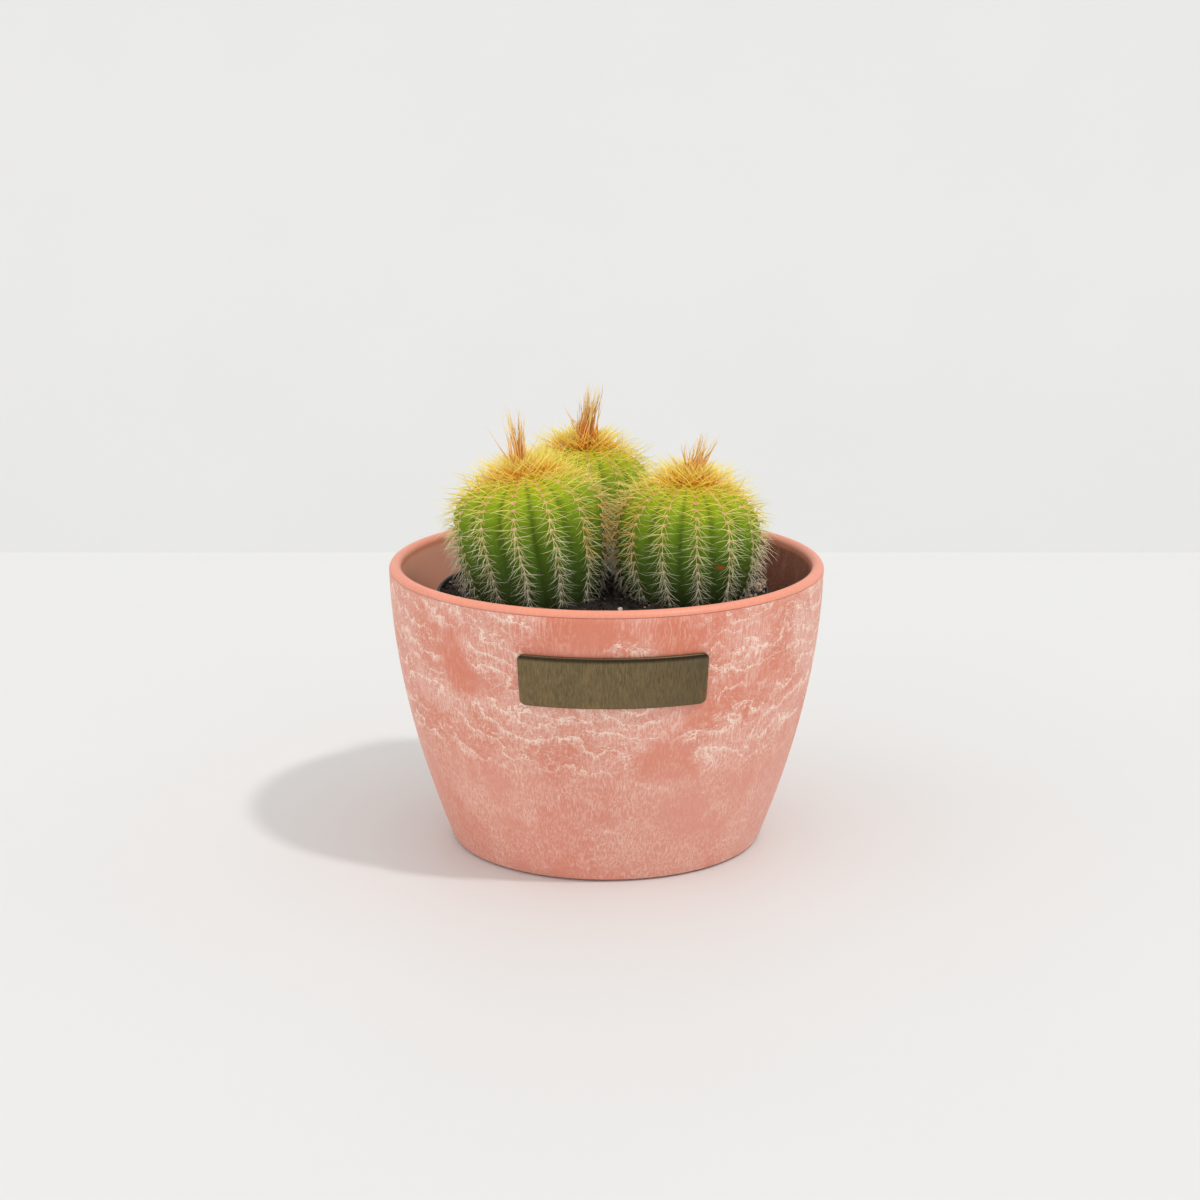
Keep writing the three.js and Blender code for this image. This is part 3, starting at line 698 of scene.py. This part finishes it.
class Head:
    def __init__(self, spec):
        self.spec = spec
        turn = np.linspace(-asin(spec["widest"] / spec["taper"]), pi / 2, 800)
        power = 2 / plant["roundness"]
        above = turn > 0
        cosine = np.maximum(np.cos(turn), 0)
        rise = np.where(above, np.maximum(np.sin(turn), 0) ** power, 0)
        low = spec["widest"] + spec["taper"] * np.sin(turn)
        self.radii = spec["radius"] * np.where(above, cosine**power, cosine)
        self.heights = np.where(above, spec["widest"] + (spec["crown"] - spec["widest"]) * rise, low)
        steps = np.hypot(np.diff(self.radii), np.diff(self.heights))
        self.length = steps.sum()
        self.shares = np.concatenate([[0], np.cumsum(steps) / self.length])
        towards = radians(spec["towards"])
        self.leanTo = np.array([cos(towards), sin(towards), 0])

    def outline(self, share):
        return np.interp(share, self.shares, self.radii), np.interp(share, self.shares, self.heights)

    def axis(self, height):
        spec = self.spec
        bend = (spec["crownLean"] - spec["rootLean"]) / (2 * spec["crown"])
        shift = spec["rootLean"] * height + bend * np.maximum(height, 0) ** 2
        return shift[..., None] * self.leanTo + height[..., None] * np.array([0, 0, 1])

    def place(self, height, radius, angle):
        # a point in mm in the object's frame
        spec = self.spec
        tip = atan(spec["crownLean"]) * np.clip(height / spec["crown"], 0, 1)[..., None]
        flat = np.stack([np.sin(angle), -np.cos(angle), np.zeros_like(angle)], -1)
        pivot = np.array([-self.leanTo[1], self.leanTo[0], 0])
        along = (flat @ pivot)[..., None] * pivot
        out = flat * np.cos(tip) + np.cross(pivot, flat) * np.sin(tip) + along * (1 - np.cos(tip))
        return out * radius[..., None] + self.axis(height) + np.array([spec["x"], spec["y"], soil["level"]])

    def ribAngle(self, rib, height):
        spec = self.spec
        below = 1 - np.clip(height / spec["widest"], 0, 1)
        return np.radians(spec["firstRib"] + spec["twist"] * below + 360 * rib / plant["ribs"])

    def surface(self, share, rib):
        # a point on the skin: share runs from the soil to the crown, and rib
        # counts round the head, with the furrows at the halves
        share, rib = np.broadcast_arrays(np.asarray(share, float), np.asarray(rib, float))
        radius, height = self.outline(share)
        fromCrest = np.abs(rib - np.round(rib)) * 2
        shallow = plant["furrowAtSoil"]
        depth = shallow + (plant["furrowDepth"] - shallow) * smoothstep(share, 0, plant["furrowFull"])
        radius = radius * (1 - depth * fromCrest ** plant["furrowShape"])
        swell = np.cos(2 * pi * share * self.length / plant["areoleSpacing"] + pi * np.round(rib))
        radius = radius + plant["tubercle"] * swell * (1 - fromCrest) ** 2 * smoothstep(radius, 3, 9)
        return self.place(height, radius, self.ribAngle(rib, height))

    def skinMesh(self, name, *materials):
        columns, rows = plant["columns"], plant["rows"]
        count = plant["ribs"] * columns
        ribPlaces = np.arange(count) / columns
        shares = np.linspace(0, 0.9985, rows)
        grid = self.surface(shares[:, None], ribPlaces[None, :])
        fromCrest = np.abs(ribPlaces - np.round(ribPlaces)) * 2
        radius, _ = self.outline(np.array(0.0))
        under = []
        for depth, inset in plant["roots"]:
            level = np.full(count, -depth)
            under.append(self.place(level, np.full(count, radius * inset), self.ribAngle(ribPlaces, level)))
        points = np.concatenate([*under, grid.reshape(-1, 3)])
        rings = rows + len(under)
        faces = [(a, d, c, b) for a, b, c, d in bands(rings, count)]
        faces.append(tuple(reversed(range(count))))
        faces.append(tuple(range((rings - 1) * count, rings * count)))
        mesh = makeMesh(name, points * mm, faces, *materials)
        climb = np.concatenate([np.zeros(count * len(under)), np.repeat(shares, count)])
        addNumbers(mesh, "climb", climb)
        addNumbers(mesh, "furrow", np.tile(fromCrest, rings))
        return mesh

    def shareAt(self, radius):
        # the share of the outline, over the widest place, where the head is this wide
        above = self.heights > self.spec["widest"]
        return np.interp(-np.asarray(radius, float), -self.radii[above], self.shares[above])

    def areoleMesh(self, name, places):
        # a point for each areole, with the way out of the skin and the way up the rib
        share, rib = np.array(places).T
        nudge, turn = plant["nudge"]
        here = self.surface(share, rib)
        up = self.surface(np.minimum(share + nudge, 0.999), rib) - self.surface(share - nudge, rib)
        up /= np.linalg.norm(up, axis=1)[:, None]
        right = self.surface(share, rib + turn) - self.surface(share, rib - turn)
        right -= (right * up).sum(1)[:, None] * up
        right /= np.linalg.norm(right, axis=1)[:, None]
        out = np.cross(right, up)
        mesh = makeMesh(name, here * mm)
        addNumbers(mesh, "out", out, "FLOAT_VECTOR")
        addNumbers(mesh, "up", up, "FLOAT_VECTOR")
        addNumbers(mesh, "climb", share)
        return makePiece(name, mesh)

    def sideAreoles(self):
        spacing = plant["areoleSpacing"]
        places = []
        for rib in range(plant["ribs"]):
            for row in range(int(self.length / spacing)):
                share = (row + 0.35 + 0.5 * (rib % 2)) * spacing / self.length
                if share < self.shareAt(plant["crownRadius"]):
                    places.append((share, rib))
        return places

    def crownAreoles(self):
        places = []
        for i, radius in enumerate(plant["crownRings"]):
            share = float(self.shareAt(radius))
            places += [(share, rib + 0.5 * (i % 2)) for rib in range(plant["ribs"])]
        return places


# the marks on the plant, in mm: a dry orange scar low on the right head, and
# golden spines where the two front heads meet
scar = {"at": (32.2, -23.2, 86.0), "reach": (2.3, 0.5), "squash": 2.6, "ragged": 1.6}
golden = {"at": (1, -16, 97), "reach": (17, 7)}


def skinFinish():
    # lime at the shoulder, deep green below, with painted shade in the furrows and a painted highlight on the
    # crests
    finish = Finish("cactusSkin")
    climb = finish.attribute("climb")
    furrow = finish.attribute("furrow")
    cloud = finish.noise(120, 4, 0.6)
    speck = finish.noise(1500, 3, 0.6)
    stops = [
        (0.0, (54, 66, 30)), (0.18, (70, 96, 32)), (0.36, (94, 126, 24)),
        (0.55, (126, 154, 12)), (0.75, (170, 186, 8)), (1.0, (192, 184, 22)),
    ]
    paint = finish.ramp(climb + (cloud - 0.5) * 0.14, stops)
    # painted shade in the furrows, stronger higher up
    furrowShade = finish.span(furrow, 0.72, 1.0) * finish.span(climb, 0.25, 0.8, 0.16, 0.5)
    paint = finish.blend(furrowShade, paint, (44, 72, 14))
    # painted highlight: lighter and yellower on the crests
    paint = finish.blend(finish.span(furrow, 0.25, 0.0) * 0.2, paint, (176, 184, 70))
    paint = finish.blend(finish.span(speck, 0.55, 0.75) * 0.14, paint, (190, 200, 110))
    aside = finish.vector("SUBTRACT", finish.place, metres(scar["at"]))
    aside = finish.vector("LENGTH", finish.vector("MULTIPLY", aside, (1, 1, scar["squash"])))
    aside = aside + (speck - 0.5) * scar["ragged"] * mm
    dry = finish.span(aside, *metres(scar["reach"]))
    paint = finish.blend(dry * 0.85, paint, (172, 92, 42))
    relief = finish.bump(finish.noise(700, 4, 0.6), 0.00012, 0.5)
    return finish.shade(
        Base_Color=paint, Roughness=0.5 + 0.2 * speck, Specular_IOR_Level=0.2, Subsurface_Weight=0.12,
        Subsurface_Radius=(0.5, 1.0, 0.1), Subsurface_Scale=0.003, Normal=relief,
    )


def spineFinish():
    # ash at the soil, straw on the sides, gold with an orange root at the crown
    finish = Finish("spines")
    stops = [
        (0.0, (196, 190, 176)), (0.2, (228, 224, 204)), (0.42, (242, 238, 190)),
        (0.62, (250, 234, 100)), (0.83, (255, 236, 110)), (1.0, (255, 242, 140)),
    ]
    roots = [
        (0.0, (178, 168, 150)), (0.5, (232, 216, 140)), (0.80, (255, 212, 78)),
        (0.90, (250, 160, 36)), (1.0, (214, 98, 36)),
    ]
    draw = finish.attribute("draw")
    tone = finish.attribute("climb") + (draw - 0.5) * 0.12
    along = finish.span(finish.attribute("along"), 0.1, 0.7)
    paint = finish.blend(along, finish.ramp(tone, roots), finish.ramp(tone, stops))
    away = finish.vector("DISTANCE", finish.place, metres(golden["at"]))
    gilt = finish.span(away, *metres(golden["reach"])) * finish.span(draw, 0.2, 0.5)
    paint = finish.blend(gilt * 0.75, paint, (240, 178, 72))
    return finish.shade(Base_Color=paint, Roughness=0.4, Specular_IOR_Level=0.4)


def strandFinish():
    finish = Finish("strands")
    draw = finish.attribute("draw")
    along = finish.attribute("along")
    low = finish.blend(draw, (214, 104, 34), (252, 164, 54))
    high = finish.blend(draw, (232, 186, 110), (255, 230, 150))
    paint = finish.blend(finish.span(along, 0.15, 0.85), low, high)
    # a few strands darker brown: painted shade within the tuft
    shadedStrands = finish.span(draw, 0.16, 0.12)
    paint = finish.blend(shadedStrands * 0.6, paint, (146, 112, 70))
    return finish.shade(Base_Color=paint, Roughness=0.45)


def feltFinish():
    finish = Finish("felt")
    climb = finish.attribute("climb")
    along = finish.attribute("along")
    fuzz = finish.noise(4000, 3, 0.6)
    pad = finish.blend(finish.span(climb, 0.2, 0.6), (206, 196, 178), (242, 196, 150))
    heart = finish.span(along, 0.88, 1.0) * finish.span(climb, 0.45, 0.7)
    paint = finish.blend(heart * 0.7, pad, (196, 104, 74))
    paint = finish.blend(fuzz * 0.3, paint, (240, 226, 206))
    return finish.shade(Base_Color=paint, Roughness=0.95, Sheen_Weight=0.15, Normal=finish.bump(fuzz, 0.0003))


# how far a spine's tip stays off the soil and the other heads, and how deep a tip is
# still brought out, in mm
clearance = {"margin": 0.4, "deepest": (-12, -11)}


def spineTree():
    # a fan of spines on each areole, bent clear of the soil and of the other heads
    obstacle = {"Obstacle": bpy.types.Object, "Box low": tuple, "Box high": tuple}
    tree = Growth("spineFan", {**spineSets["radials"], **obstacle})
    given = tree.given
    climb = tree.attribute("climb")
    values = {0: climb, 1: given("Low climb")}
    tooLow = tree.node("FunctionNodeCompare", values, data_type="FLOAT", operation="LESS_THAN")
    values = {"Geometry": given("Geometry"), "Selection": tooLow}
    chosen = tree.node("GeometryNodeDeleteGeometry", values, domain="POINT")
    values = {"Geometry": chosen, "Amount": given("Spines")}
    copies = tree.node("GeometryNodeDuplicateElements", values, domain="POINT")
    up, out = tree.attribute("up", "FLOAT_VECTOR"), tree.attribute("out", "FLOAT_VECTOR")
    right = tree.vector("CROSS_PRODUCT", up, out)

    def between(label):
        ends = (given("Low " + label), given("High " + label))
        return tree.span(climb, given("Low climb"), given("High climb"), *ends, smooth=False)

    def turned(angle, first, second):
        # the way at this angle from the first towards the second
        first, second = tree.scaled(first, angle.calc("COSINE")), tree.scaled(second, angle.calc("SINE"))
        return tree.vector("ADD", first, second)

    # the opening is the angle to each side of straight up that holds no spines
    step = (copies.other("Duplicate Index") + tree.random(0.1, 0.9, 1)) / given("Spines")
    azimuth = (between("opening") + (360 - 2 * between("opening")) * step) * radians(1)
    rise = (between("rise") + tree.random(-9, 9, 2)) * radians(1)
    length = between("length") * tree.random(0.72, 1.14, 3) * mm
    here = tree.node("GeometryNodeInputPosition")
    way = turned(rise, turned(azimuth, up, right), out)
    tip = tree.vector("ADD", here, tree.scaled(way, length))
    # a tip inside the soil or another head comes out at the nearest place
    near = tree.node("GeometryNodeObjectInfo", {"Object": given("Obstacle")}, "Geometry")
    touch = tree.node("GeometryNodeProximity", {0: near, "Sample Position": tip}, target_element="FACES")
    values = {"Mesh": near, "Value": tree.node("GeometryNodeInputNormal"), "Sample Position": tip}
    facing = tree.node("GeometryNodeSampleNearestSurface", values, data_type="FLOAT_VECTOR")
    away = tree.vector("DOT_PRODUCT", tree.vector("SUBTRACT", tip, touch), facing)
    push = (clearance["margin"] * mm - away).calc("MAXIMUM", 0)
    push = push * tree.span(away, *metres(clearance["deepest"]), smooth=False)
    tip = tree.vector("ADD", tip, tree.scaled(facing, push))
    tip = tree.vector("MINIMUM", tree.vector("MAXIMUM", tip, given("Box low")), given("Box high"))
    points = tree.store(copies, "draw", tree.random(0, 1, 4))
    points = tree.store(points, "reach", tree.vector("SUBTRACT", tip, here), "FLOAT_VECTOR")
    return raiseSpines(tree, points, sides=3, segments=4, curl=given("Curl"), wave=0.0, roll=0.9)


def tuftTree():
    # wavy strands, each along its own reach
    tree = Growth("tuft", {**strandShape, "Thickness": float})
    given = tree.given
    points = tree.store(given("Geometry"), "draw", tree.random(0, 1, 4))
    curl, wave = given("Curl"), given("Wave")
    return raiseSpines(tree, points, sides=4, segments=12, curl=curl, wave=wave, roll=pi)


def raiseSpines(tree, points, sides, segments, curl, wave, roll):
    # a tapered spine from each point along its reach, arched away from the skin
    values = {"Vertices": sides, "Side Segments": segments, "Radius Top": 0.0, "Radius Bottom": 0.5}
    cone = tree.node("GeometryNodeMeshCone", {**values, "Depth": 1.0}, fill_type="NGON")
    spot = tree.node("GeometryNodeInputPosition")
    along = tree.part(spot, "Z")
    # the bend and the wave are across the spine, in thicknesses, and the taper is mostly at the tip
    waves = 1.6
    swing = (along * 2 * pi * waves).calc("SINE") * wave + (1 - along) * 4 * curl
    full = tree.vector("MULTIPLY", spot, tree.join(along, along))
    offset = tree.vector("ADD", full, tree.join(swing * along))
    values = {"Geometry": tree.store(cone, "along", along), "Offset": offset}
    cone = tree.node("GeometryNodeSetPosition", values)
    reach, out = tree.attribute("reach", "FLOAT_VECTOR"), tree.attribute("out", "FLOAT_VECTOR")
    aim = tree.node("FunctionNodeAlignRotationToVector", {"Vector": reach}, axis="Z")
    values = {"Rotation": aim, "Vector": out}
    aim = tree.node("FunctionNodeAlignRotationToVector", values, axis="X", pivot_axis="Z")
    values = {"Axis": (0, 0, 1), "Angle": tree.random(-roll, roll, 5)}
    values = {"Rotation": aim, "Rotate By": tree.node("FunctionNodeAxisAngleToRotation", values)}
    aim = tree.node("FunctionNodeRotateRotation", values, rotation_space="LOCAL")
    # finer at the soil than at the crown
    thickness = tree.given("Thickness") * tree.span(tree.attribute("climb"), 0.0, 0.6, 0.7, 1.0) * mm
    return tree.scatter(points, cone, aim, tree.join(thickness, thickness, tree.vector("LENGTH", reach)))


def obstacleFor(name, heads):
    # the other heads and the soil, as one closed mesh each, for the spines to stay clear of
    points, faces = [], []
    meshes = [head.skinMesh("other") for other, head in heads.items() if other != name]
    meshes.append(soilMesh("soilShape", 0.0))
    for mesh in meshes:
        start = len(points)
        points += [v.co.copy() for v in mesh.vertices]
        faces += [tuple(start + i for i in face.vertices) for face in mesh.polygons]
        bpy.data.meshes.remove(mesh)
    return makePiece("obstacle_" + name, makeMesh("obstacle_" + name, points, faces))


def soilMesh(name, rough, *materials):
    # a round slab whose top follows the soil's height, with a lumpy surface
    rng = np.random.default_rng(5)
    rings, spokes, radius, x0 = soil["rings"], soil["spokes"], soil["radius"], growPot["x"]
    waves = rng.uniform(0.25, 1.6, (soil["waves"], 2)) * rng.choice([-1, 1], (soil["waves"], 2))
    phases = rng.uniform(0, 2 * pi, soil["waves"])

    def top(x, y):
        total = np.zeros_like(x)
        for (a, b), phase in zip(waves, phases):
            total += np.sin(a * x + b * y + phase) / (1 + hypot(a, b))
        return soilHeight(x, y) + rough * (total * soil["lumps"])

    points = [(x0, 0, top(np.array(x0), np.array(0.0)))]
    turn = np.arange(spokes) * 2 * pi / spokes
    for ring in range(1, rings + 1):
        x, y = x0 + radius * ring / rings * np.cos(turn), radius * ring / rings * np.sin(turn)
        points += zip(x, y, top(x, y))
    low = radius - soil["draft"]
    under = np.full(spokes, soil["level"] - soil["depth"])
    points += zip(x0 + low * np.cos(turn), low * np.sin(turn), under)
    faces = [(0, 1 + i, 1 + (i + 1) % spokes) for i in range(spokes)] + bands(rings + 1, spokes, 1)
    last = 1 + rings * spokes
    faces.append(tuple(reversed(range(last, last + spokes))))
    return makeMesh(name, np.array(points, float) * mm, faces, *materials)


def peatFinish():
    finish = Finish("peat")
    clod = finish.noise(500, 5, 0.65)
    fibre = finish.noise(1600, 3, 0.7)
    stops = [(0.3, (22, 17, 16)), (0.52, (44, 33, 28)), (0.68, (82, 62, 50)), (0.8, (120, 98, 80))]
    paint = finish.ramp(clod * 0.7 + fibre * 0.3, stops)
    return finish.shade(Base_Color=paint, Roughness=0.9, Normal=finish.bump(clod + fibre * 0.4, 0.0012))


# what is strewn over the peat: its look, its seed and its sizes in mm
strewn = {
    "peat_crumbs": {
        "finish": "crumbs", "noise": 3000, "vary": 0.25, "roughness": 0.9, "relief": 0.0003, "seed": 3,
        "stops": [
            (0.0, (22, 18, 18)), (0.45, (36, 29, 26)), (0.75, (58, 45, 37)), (0.9, (86, 68, 54)),
            (1.0, (156, 136, 114)),
        ],
        "sizes": {"Density": 270000.0, "Smallest": 0.5, "Largest": 2.5, "Flatness": 0.7},
    },
    "pale_grit": {
        "finish": "grit", "noise": 2500, "vary": 0.4, "roughness": 0.85, "relief": 0.0004, "seed": 4,
        "stops": [(0.0, (120, 96, 78)), (0.35, (186, 160, 134)), (1.0, (232, 214, 192))],
        "sizes": {"Density": 1800000.0, "Smallest": 0.6, "Largest": 2.0, "Flatness": 0.8},
    },
}


def grainFinish(look):
    finish = Finish(look["finish"])
    grain = finish.noise(look["noise"], 3, 0.6)
    paint = finish.ramp(finish.attribute("draw") + (grain - 0.5) * look["vary"], look["stops"])
    relief = finish.bump(grain, look["relief"])
    return finish.shade(Base_Color=paint, Roughness=look["roughness"], Normal=relief)


def crumbTree():
    # loose crumbs strewn over a surface, each a rough lump with its own size and turn
    tree = Growth("crumbs", strewn["peat_crumbs"]["sizes"])
    given = tree.given
    values = {"Mesh": given("Geometry"), "Density": given("Density") * tree.attribute("crumbly")}
    spots = tree.node("GeometryNodeDistributePointsOnFaces", {**values, "Seed": given("Seed")})
    points = tree.store(spots, "draw", tree.random(0, 1, 4))
    ball = tree.node("GeometryNodeMeshIcoSphere", {"Radius": 0.5, "Subdivisions": 2})
    lumps = tree.node("ShaderNodeTexNoise", {"Scale": 1.7, "Detail": 2.0}, "Color")
    offset = tree.scaled(tree.vector("SUBTRACT", lumps, (0.5, 0.5, 0.5)), 0.9)
    ball = tree.node("GeometryNodeSetPosition", {"Geometry": ball, "Offset": offset})
    share = tree.random(0, 1, 1) ** 2.5
    size = (given("Smallest") + (given("Largest") - given("Smallest")) * share) * mm
    scale = tree.join(size, size * tree.random(0.6, 1.0, 2), size * given("Flatness"))
    turn = tree.join(tree.random(-0.7, 0.7, 6), tree.random(-0.7, 0.7, 7), tree.random(0, 2 * pi, 8))
    return tree.scatter(points, ball, tree.node("FunctionNodeEulerToRotation", {"Euler": turn}), scale)


def buildSoil():
    piece = makePiece("peat_bed", soilMesh("peat_bed", soil["rough"], peatFinish()))
    tree = crumbTree()
    x, y, z = np.array([v.co[:] for v in piece.data.vertices]).T
    onTop = (z > (soil["level"] - soil["topWithin"]) * mm).astype(float)
    nearHeap = soil["strayGrit"] + heapAt(x / mm, y / mm, soil["heapEdge"])
    grown = [piece]
    for name, share in {"peat_crumbs": onTop, "pale_grit": onTop * nearHeap}.items():
        look = strewn[name]
        addNumbers(piece.data, "crumbly", share)
        grown.append(tree.grow(name, piece, look["seed"], grainFinish(look), look["sizes"]))
        piece.data.attributes.remove(piece.data.attributes["crumbly"])
    for made in grown:
        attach(made, "root")
    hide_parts("soil")


buildSoil()
print("soil built")


# the felt cushions on the areoles, in mm
feltSize = {"Width": 1.45, "Height": 0.9}


def feltTree():
    # a small felt cushion on each areole
    tree = Growth("areoleFelt", feltSize)
    given = tree.given
    points = tree.store(given("Geometry"), "draw", tree.random(0, 1, 4))
    ball = tree.node("GeometryNodeMeshUVSphere", {"Segments": 8, "Rings": 6, "Radius": 0.5})
    along = tree.part(tree.node("GeometryNodeInputPosition"), "Z") + 0.5
    ball = tree.store(ball, "along", along)
    aim = {"Vector": tree.attribute("out", "FLOAT_VECTOR")}
    aim = tree.node("FunctionNodeAlignRotationToVector", aim, axis="Z")
    growth = tree.span(tree.attribute("climb"), 0.2, 0.7, 0.62, 1.0)
    width = given("Width") * tree.random(0.85, 1.15, 1) * growth * mm
    return tree.scatter(points, ball, aim, tree.join(width, width, given("Height") * growth * mm))


# the fans of spines: fine ones flat along the skin, stronger ones that stand
# off it, and the brush on the crown
spineSets = {
    "radials": {
        "Spines": 8, "Low climb": 0.0, "High climb": 0.84, "Low opening": 98.0, "High opening": 66.0,
        "Low rise": 12.0, "High rise": 16.0, "Low length": 5.0, "High length": 8.0,
        "Thickness": 0.17, "Curl": 3.0,
    },
    "centrals": {
        "Spines": 3, "Low climb": 0.1, "High climb": 0.84, "Low opening": 110.0, "High opening": 56.0,
        "Low rise": 28.0, "High rise": 40.0, "Low length": 5.2, "High length": 11.0,
        "Thickness": 0.2, "Curl": 3.2,
    },
    "brush": {
        "Spines": 7, "Low climb": 0.83, "High climb": 0.98, "Low opening": 80.0, "High opening": 20.0,
        "Low rise": 30.0, "High rise": 72.0, "Low length": 10.4, "High length": 6.4,
        "Thickness": 0.25, "Curl": 2.0,
    },
}

# the bend and the wave of a dry strand, in thicknesses
strandShape = {"Curl": 1.0, "Wave": 1.2}

# the tufts of dry strands on the crowns: each clump's tip, its strands, and
# how far its tips spread, in mm
tufts = {
    "left": {
        "root": (-24.6, -8.0, 109.0), "rootSpread": 2.2, "thickness": 0.42, "clumps": [
            (-28.9, -6.0, 130.6, 16, 1.0), (-25.0, -6.0, 130.4, 14, 1.1), (-26.8, -7.0, 129.0, 8, 1.3),
            (-23.6, -5.0, 126.0, 10, 1.3), (-27.0, -8.0, 121.0, 12, 2.4),
            (-35.6, -6.0, 125.0, 1, 0.1), (-17.2, -6.0, 126.0, 1, 0.1),
        ],
    },
    "right": {
        "root": (24.2, -7.0, 106.8), "rootSpread": 2.2, "thickness": 0.4, "clumps": [
            (28.6, -5.0, 122.4, 16, 1.0), (26.2, -5.0, 122.0, 10, 1.0), (32.6, -5.0, 121.4, 14, 1.2),
            (15.6, -5.0, 117.6, 5, 1.2), (22.2, -5.0, 120.4, 9, 1.6), (30.6, -5.0, 123.4, 6, 1.0),
        ],
    },
    "back": {
        "root": (-6.4, 31.5, 110.5), "rootSpread": 2.8, "thickness": 0.42, "clumps": [
            (-5.2, 30.0, 132.4, 20, 1.0), (-1.4, 29.5, 132.6, 16, 1.2), (-3.0, 30.0, 128.0, 16, 1.6),
            (-7.6, 31.0, 128.0, 10, 1.4), (-11.6, 31.0, 123.4, 8, 1.4), (-4.6, 31.0, 123.0, 18, 2.2),
        ],
    },
}


def strandMesh(name, tuft, seed):
    # a point at each strand's root, with the way and length that it reaches
    rng = np.random.default_rng(seed)
    roots, reaches = [], []
    for *tip, strands, spread in tuft["clumps"]:
        for _ in range(strands):
            root = np.array(tuft["root"]) + rng.normal(0, 0.5, 3) * tuft["rootSpread"] * (1, 1, 0.2)
            end = np.array(tip) + rng.normal(0, 0.6, 3) * spread
            reach = (end - root) * rng.uniform(0.66, 1.0)
            top = (cadBox[1][2] - boxMargin) / mm - root[2]
            roots.append(root)
            reaches.append(reach * min(1, top / reach[2]))
    mesh = makeMesh(name, np.array(roots) * mm)
    addNumbers(mesh, "reach", np.array(reaches) * mm, "FLOAT_VECTOR")
    addNumbers(mesh, "climb", np.full(len(roots), 1.0))
    return makePiece(name, mesh)


def buildHeads():
    heads = {name: Head(spec) for name, spec in headSpecs.items()}
    skin, spines, felt, strands = skinFinish(), spineFinish(), feltFinish(), strandFinish()
    fans, wisps, pads = spineTree(), tuftTree(), feltTree()
    boxLow = tuple(c + boxMargin for c in cadBox[0])
    boxHigh = tuple(c - boxMargin for c in cadBox[1])
    for name, head in heads.items():
        seed, tuft = head.spec["seed"], tufts[name]
        body = makePiece(f"{name}_skin", head.skinMesh(f"{name}_skin", skin))
        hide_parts(head.spec["node"])
        side = head.areoleMesh(f"{name}_side", head.sideAreoles())
        crown = head.areoleMesh(f"{name}_crown", head.crownAreoles())
        obstacle = obstacleFor(name, heads)
        made = [body]
        for setName, values in spineSets.items():
            inputs = {**values, "Obstacle": obstacle, "Box low": boxLow, "Box high": boxHigh}
            holder = crown if setName == "brush" else side
            made.append(fans.grow(f"{name}_{setName}", holder, seed, spines, inputs))
        made.append(pads.grow(f"{name}_felt", side, seed, felt, feltSize))
        roots = strandMesh(f"{name}_roots", tuft, seed)
        inputs = {**strandShape, "Thickness": tuft["thickness"]}
        made.append(wisps.grow(f"{name}_tuft", roots, seed, strands, inputs))
        for helper in (side, crown, obstacle, roots):
            bpy.data.objects.remove(helper)
        for piece in made:
            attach(piece, "root")
        print(name, "head built,", sum(len(p.data.polygons) for p in made), "faces")


buildHeads()
